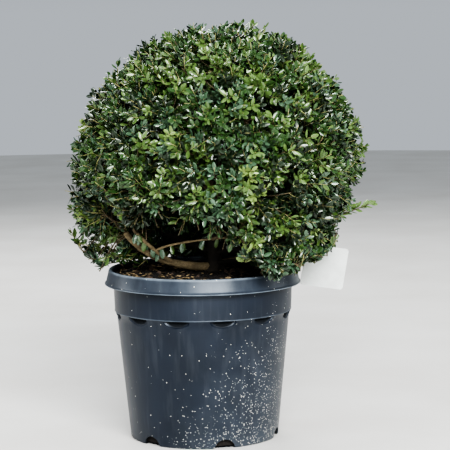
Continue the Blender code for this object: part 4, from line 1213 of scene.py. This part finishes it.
def leaves_of(rng, spray, settings, inside, limbs):
    """Leaves set spirally along every shoot, without those that leave the space or touch a limb.

    A shoot that keeps too few leaves is dropped with them.
    """
    axis = unit(spray.ends - spray.starts)
    seed = unit(np.cross(axis, rng.normal(size=axis.shape)))
    other = np.cross(axis, seed)
    turn = rng.uniform(0, math.tau, len(axis))
    splay_start, splay_loss, splay_spread = LEAF_SPLAY
    parts = []
    for k in range(SHOOT_LEAVES):
        share = FIRST_LEAF + (1 - FIRST_LEAF) * k / (SHOOT_LEAVES - 1)
        angle = turn + k * GOLDEN_ANGLE + rng.normal(0, LEAF_TURN, len(axis))
        aside = seed * np.cos(angle)[:, None] + other * np.sin(angle)[:, None]
        splay = splay_start - splay_loss * share + rng.normal(0, splay_spread, len(axis))
        splay = np.radians(splay)[:, None]
        along = unit(axis * np.cos(splay) + aside * np.sin(splay))
        facing = unit(axis - along * np.sum(axis * along, axis=1, keepdims=True)
                      + rng.normal(0, LEAF_TILT, axis.shape))
        roots = spray.starts + (spray.ends - spray.starts) * share
        lengths = settings.leaf_length * rng.uniform(*LEAF_SIZES, len(axis))
        lengths *= 1.0 - TIP_LOSS * max(0, share - TIP_START) / (1 - TIP_START)
        parts.append((roots, along, facing, lengths, spray.tones, spray.skins))
    roots, along, facing, lengths, tones, skins = (np.concatenate(part) for part in zip(*parts))
    keep = np.ones(len(roots), bool)
    for share in LEAF_PROBES:
        points = roots + along * (lengths * share)[:, None]
        keep &= inside(points, skins) & clear_of_pot(points) & clear_of_label(points)
    keep &= clear_of_limbs(roots + along * (lengths * 0.5)[:, None], limbs)
    leafy = keep.reshape(SHOOT_LEAVES, -1).sum(axis=0) >= LEAST_LEAVES
    keep &= np.tile(leafy, SHOOT_LEAVES)
    curl = rng.uniform(*LEAF_CURLS, len(roots))
    return (spray.only(leafy),
            tuple(part[keep] for part in (roots, along, facing, lengths, tones, curl)))


def hanging_leaves(rng, limb, shares):
    """A few leaves that hang by ones and twos from a limb across the arch."""
    count = len(shares)
    roots = limb.route[np.round(np.array(shares) * (len(limb.route) - 1)).astype(int)]
    along = random_lean(rng, np.tile(HANGING_WAY, (count, 1)), HANGING_LEAN)
    facing = random_lean(rng, np.tile(HANGING_FACE, (count, 1)), HANGING_LEAN)
    lengths = rng.uniform(*HANGING_LENGTHS, count)
    tones = rng.integers(COOL, MOSS + 1, count)
    return roots, along, facing, lengths, tones, np.ones(count)


def long_shoot(rng, start, end, rows):
    """One long shoot on the right, with its leaves in two loose rows."""
    start, end = np.array(start), np.array(end)
    route = bend(start, (start + end) / 2 + np.array(LONG_SAG), end, 6)
    share = np.linspace(0.12, 1, rows)
    turn = np.arange(rows) * GOLDEN_ANGLE
    axis = unit(end - start)
    aside = unit(np.cross(axis, [0, 1.0, 0]))
    other = np.cross(axis, aside)
    sideways = (aside[None] * np.cos(turn)[:, None]
                + other[None] * np.sin(turn)[:, None] * LONG_FLATNESS)
    splay = np.radians(LONG_SPLAY[0] - LONG_SPLAY[1] * share)[:, None]
    along = unit(axis[None] * np.cos(splay) + sideways * np.sin(splay))
    facing = unit(axis[None] - along * (along @ axis)[:, None]
                  + rng.normal(0, LONG_TILT, (rows, 3)) + np.array(LONG_FACE))
    roots = start + (end - start) * share[:, None]
    lengths = LONG_LEAVES[0] - LONG_LEAVES[1] * share
    tones = np.where(share > LONG_OLIVE, OLIVE, MOSS)
    return route, (roots, along, facing, lengths, tones, np.ones(rows))


# --- foliage -------------------------------------------------------------------------

def grow_ball(rng, limbs, settings):
    """Wood of three orders inside the ball, then shoots out to its clipped surface."""
    centre = np.array(CROWN_CENTRE)
    tips = Joints.on_limbs(limbs, 6)
    inner = spiral_directions(BOUGH_ENDS, BOUGH_LOWEST)
    targets = centre + inner * (crown_reach(inner) * BOUGH_REACH)[:, None]
    targets = np.concatenate([targets[above_foot(targets) > BOUGH_FOOT_GAP], [LOW_LEFT_END]])
    boughs = tips.grow_to(targets, *BOUGH_CURVE)

    outer = spiral_directions(BRANCH_ENDS, BRANCH_LOWEST)
    depth = rng.uniform(*BRANCH_DEPTHS, BRANCH_ENDS)
    targets = centre + outer * (crown_reach(outer) - depth)[:, None]
    ball_gap, leaf_gap = BRANCH_FOOT_GAPS
    targets = targets[(above_foot(targets) > ball_gap)
                      & (targets[:, 2] > leaf_foot(targets) + leaf_gap)]
    branches = Joints.on_routes(boughs, 3).joined(tips).grow_to(targets, *BRANCH_CURVE)

    # Twigs, fewer in the hollows between tufts and in the loose tuft at the lower left
    skin = random_lean(rng, spiral_directions(settings.twigs, TWIG_LOWEST), 0.02)
    depth = rng.uniform(*TWIG_DEPTHS, settings.twigs)
    targets = centre + skin * (crown_reach(skin) - depth + tufts(skin))[:, None]
    thin = tufts(skin) < rng.uniform(*THIN_TUFTS, settings.twigs)
    loose = (targets[:, 0] < LOOSE_EDGE) & (targets[:, 2] < LOOSE_TOP)
    thin |= loose & (rng.uniform(0, 1, settings.twigs) < LOOSE_SHARE)
    ball_gap, leaf_gap = TWIG_FOOT_GAPS
    thin |= (above_foot(targets) < ball_gap) | (targets[:, 2] < leaf_foot(targets) + leaf_gap)
    lining = spiral_directions(LINING_TWIGS, TWIG_LOWEST)
    lining = lining[(lining[:, 2] < LINING_TOP) & (lining[:, 1] > LINING_BACK)]
    depth = rng.uniform(*LINING_DEPTHS, len(lining))
    lining = centre + lining * (crown_reach(lining) - depth)[:, None]
    lining = lining[lining[:, 2] > leaf_foot(lining) + leaf_gap]
    targets = np.concatenate([targets[~thin], lining])
    joints = Joints.on_routes(branches, 2).joined(Joints.on_routes(boughs, 4))
    twigs = joints.grow_to(targets, *TWIG_CURVE)
    tones = deal_tones(rng, targets)
    return boughs, branches, twigs, shoots_on(rng, twigs, tones, in_ball, centre, BALL_SHOOTS)


def grow_skirt(rng, skirt, carriers):
    """Loose growth in one skirt's sector, from the low boughs that reach it."""
    def inside(points, skins):
        return in_skirt(points, skirt, SKIRT_LEAF_MARGIN) | in_ball(points, skins)

    reach, _, count = skirt[2:]
    span = np.array([reach, reach, 0.21])
    pool = np.array(CROWN_CENTRE) + rng.uniform(-1, 1, (SKIRT_TRIES, 3)) * span
    pool = pool[in_skirt(pool, skirt) & clear_of_label(pool)]
    branches = Joints.on_limbs(carriers, 4).grow_to(pool[:SKIRT_BRANCHES], *SKIRT_CURVE)
    ends = pool[SKIRT_BRANCHES:SKIRT_BRANCHES + count]
    twigs = Joints.on_routes(branches, 2).grow_to(ends, *TWIG_CURVE)
    tones = deal_tones(rng, twigs[:, -1])
    hub = np.array([CROWN_CENTRE.x, CROWN_CENTRE.y, SKIRT_HUB_HEIGHT])
    return branches, twigs, shoots_on(rng, twigs, tones, inside, hub, SKIRT_SHOOTS), inside


class HOLLY_OT_foliage(Operator):
    """Grow boughs, twigs and leaves on from the limbs, in place of the foliage solids"""
    bl_idname = "holly.foliage"
    bl_label = "Foliage"

    def execute(self, context):
        settings = context.scene.holly_foliage
        rng = np.random.default_rng(settings.seed)
        trunk, ball_limbs, low_limbs = plan_limbs()
        limbs = [trunk] + ball_limbs + low_limbs
        left, fork, front_twig = ball_limbs[:3]
        low_front, low_right, low_back = low_limbs
        boughs, branches, twigs, spray = grow_ball(rng, ball_limbs, settings)
        spray, ball_leaves = leaves_of(rng, spray, settings, in_ball, limbs)
        long_shoots, long_leaves = zip(*(long_shoot(rng, *shoot) for shoot in LONG_SHOOTS))
        wood = holly_bark("young_holly_wood", linear("#564b36"), 1.6)
        wood_piece("inner_boughs", boughs, wood)
        wood_piece("branches", branches, wood)
        wood_piece("long_shoots", np.stack(long_shoots), wood)
        all_twigs = [twigs[np.unique(spray.twigs)]]
        sprays = [spray]
        leaves = [ball_leaves]
        leaves += [hanging_leaves(rng, limb, places)
                   for limb, places in zip((fork, front_twig), HANGING_PLACES)]
        leaves += long_leaves
        carriers = ((left, fork, low_front), (low_front, low_right), (low_right, low_front),
                    (low_back,), (low_back,))
        for i, (skirt, carried) in enumerate(zip(SKIRTS, carriers)):
            branches, twigs, spray, inside = grow_skirt(rng, skirt, carried)
            spray, skirt_leaves = leaves_of(rng, spray, settings, inside, limbs)
            wood_piece("skirt_branches", branches, wood, suffix=f"_{i + 1}")
            all_twigs.append(twigs[np.unique(spray.twigs)])
            sprays.append(spray)
            leaves.append(skirt_leaves)
        wood_piece("twigs", np.concatenate(all_twigs), wood)

        spray = Spray.joined(sprays)
        middles = (spray.starts + spray.ends) / 2
        middles += rng.normal(0, SHOOT_BEND, middles.shape)
        green = holly_bark("green_holly_shoot", linear("#8d8a5c"), 1.5)
        routes = np.stack([spray.starts, middles, spray.ends], axis=1)
        wood_piece("shoots", routes, green, MASS_NODES)

        roots, along, facing, lengths, tones, curl = (np.concatenate(part) for part in zip(*leaves))
        slenderness = settings.leaf_width / settings.leaf_length
        for i, (name, hex_colour, roughness, _) in enumerate(LEAF_TONES):
            own = tones == i
            piece = mesh_object(name, *leaf_arrays(roots[own], along[own], facing[own],
                                                   lengths[own], slenderness, curl[own]))
            finish(piece, waxy_leaf(name, hex_colour, roughness), MASS_NODES)
        return {"FINISHED"}


# --- label -------------------------------------------------------------------------

class HOLLY_OT_label(Operator):
    """Give the hanging label and its strap their blank white sheet"""
    bl_idname = "holly.label"
    bl_label = "Plant Label"

    def execute(self, context):
        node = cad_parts["plant_label"]
        node.data.materials.clear()
        node.data.materials.append(label_sheet(context.scene.holly_label))
        return {"FINISHED"}


# --- stage -------------------------------------------------------------------------

def area_light(name, place, aim, size, power):
    lamp = bpy.data.lights.new(name, "AREA")
    lamp.shape = "RECTANGLE"
    lamp.size, lamp.size_y = size
    lamp.energy = power
    made = link_new(name, lamp)
    made.location = place
    made.rotation_euler = (Vector(aim) - Vector(place)).to_track_quat("-Z", "Y").to_euler()


def soft_sky():
    """The surroundings: a pale wall along the floor under a lit ceiling."""
    world = bpy.data.worlds.new("soft_studio")
    world.use_nodes = True
    nodes = Nodes(world.node_tree)
    sky = world.node_tree.nodes["Background"].inputs
    sky["Color"].default_value = rgba(SKY_COLOUR)
    rise = nodes.height_of(nodes.add("TexCoord").outputs["Generated"])
    world.node_tree.links.new(nodes.grey_ramp(rise, SKY_STOPS), sky["Strength"])
    return world


class HOLLY_OT_stage(Operator):
    """Lay the pale floor, hang the soft lights and set up the camera"""
    bl_idname = "holly.stage"
    bl_label = "Studio Stage"

    def execute(self, context):
        settings = context.scene.holly_stage
        bpy.ops.mesh.primitive_circle_add(vertices=96, radius=FLOOR_RADIUS, fill_type="NGON")
        floor = bpy.context.object
        floor.name = "studio_floor"
        floor.data.materials.append(pale_floor())
        context.scene.world = soft_sky()
        context.scene.view_settings.look = "AgX - High Contrast"
        for light in LIGHTS:
            area_light(*light)

        lens = bpy.data.cameras.new("camera")
        lens.lens = settings.lens_mm
        camera = link_new("camera", lens)
        lean = Matrix.Rotation(settings.roll, 4, "Z")
        look = Matrix.Rotation(math.pi / 2 - settings.pitch, 4, "X")
        place = Matrix.Translation((settings.aside, -settings.distance, settings.height))
        camera.matrix_world = place @ look @ lean
        context.scene.camera = camera
        return {"FINISHED"}


# --- add-on --------------------------------------------------------------------------

class HOLLY_PT_panel(Panel):
    bl_label = "Holly Ball"
    bl_idname = "HOLLY_PT_panel"
    bl_space_type = "VIEW_3D"
    bl_region_type = "UI"
    bl_category = "Holly Ball"

    def draw(self, context):
        for step in STEPS:
            self.layout.operator(step.bl_idname)
        for name, group in SETTINGS.items():
            box = self.layout.box()
            for key in group.__annotations__:
                box.prop(getattr(context.scene, name), key)


STEPS = (HOLLY_OT_stage, HOLLY_OT_pot, HOLLY_OT_compost, HOLLY_OT_limbs, HOLLY_OT_foliage,
         HOLLY_OT_label)
SETTINGS = {
    "holly_pot": PotSettings,
    "holly_compost": CompostSettings,
    "holly_limbs": LimbSettings,
    "holly_foliage": FoliageSettings,
    "holly_label": LabelSettings,
    "holly_stage": StageSettings,
}


def register():
    for part in (*SETTINGS.values(), *STEPS, HOLLY_PT_panel):
        bpy.utils.register_class(part)
    for name, group in SETTINGS.items():
        setattr(bpy.types.Scene, name, PointerProperty(type=group))


def unregister():
    for name in SETTINGS:
        delattr(bpy.types.Scene, name)
    for part in (HOLLY_PT_panel, *reversed(STEPS), *reversed(SETTINGS.values())):
        bpy.utils.unregister_class(part)


def main():
    register()
    bpy.ops.holly.stage()
    bpy.ops.holly.pot()
    bpy.ops.holly.compost()
    bpy.ops.holly.limbs()
    bpy.ops.holly.foliage()
    bpy.ops.holly.label()


if __name__ == "__main__":
    main()
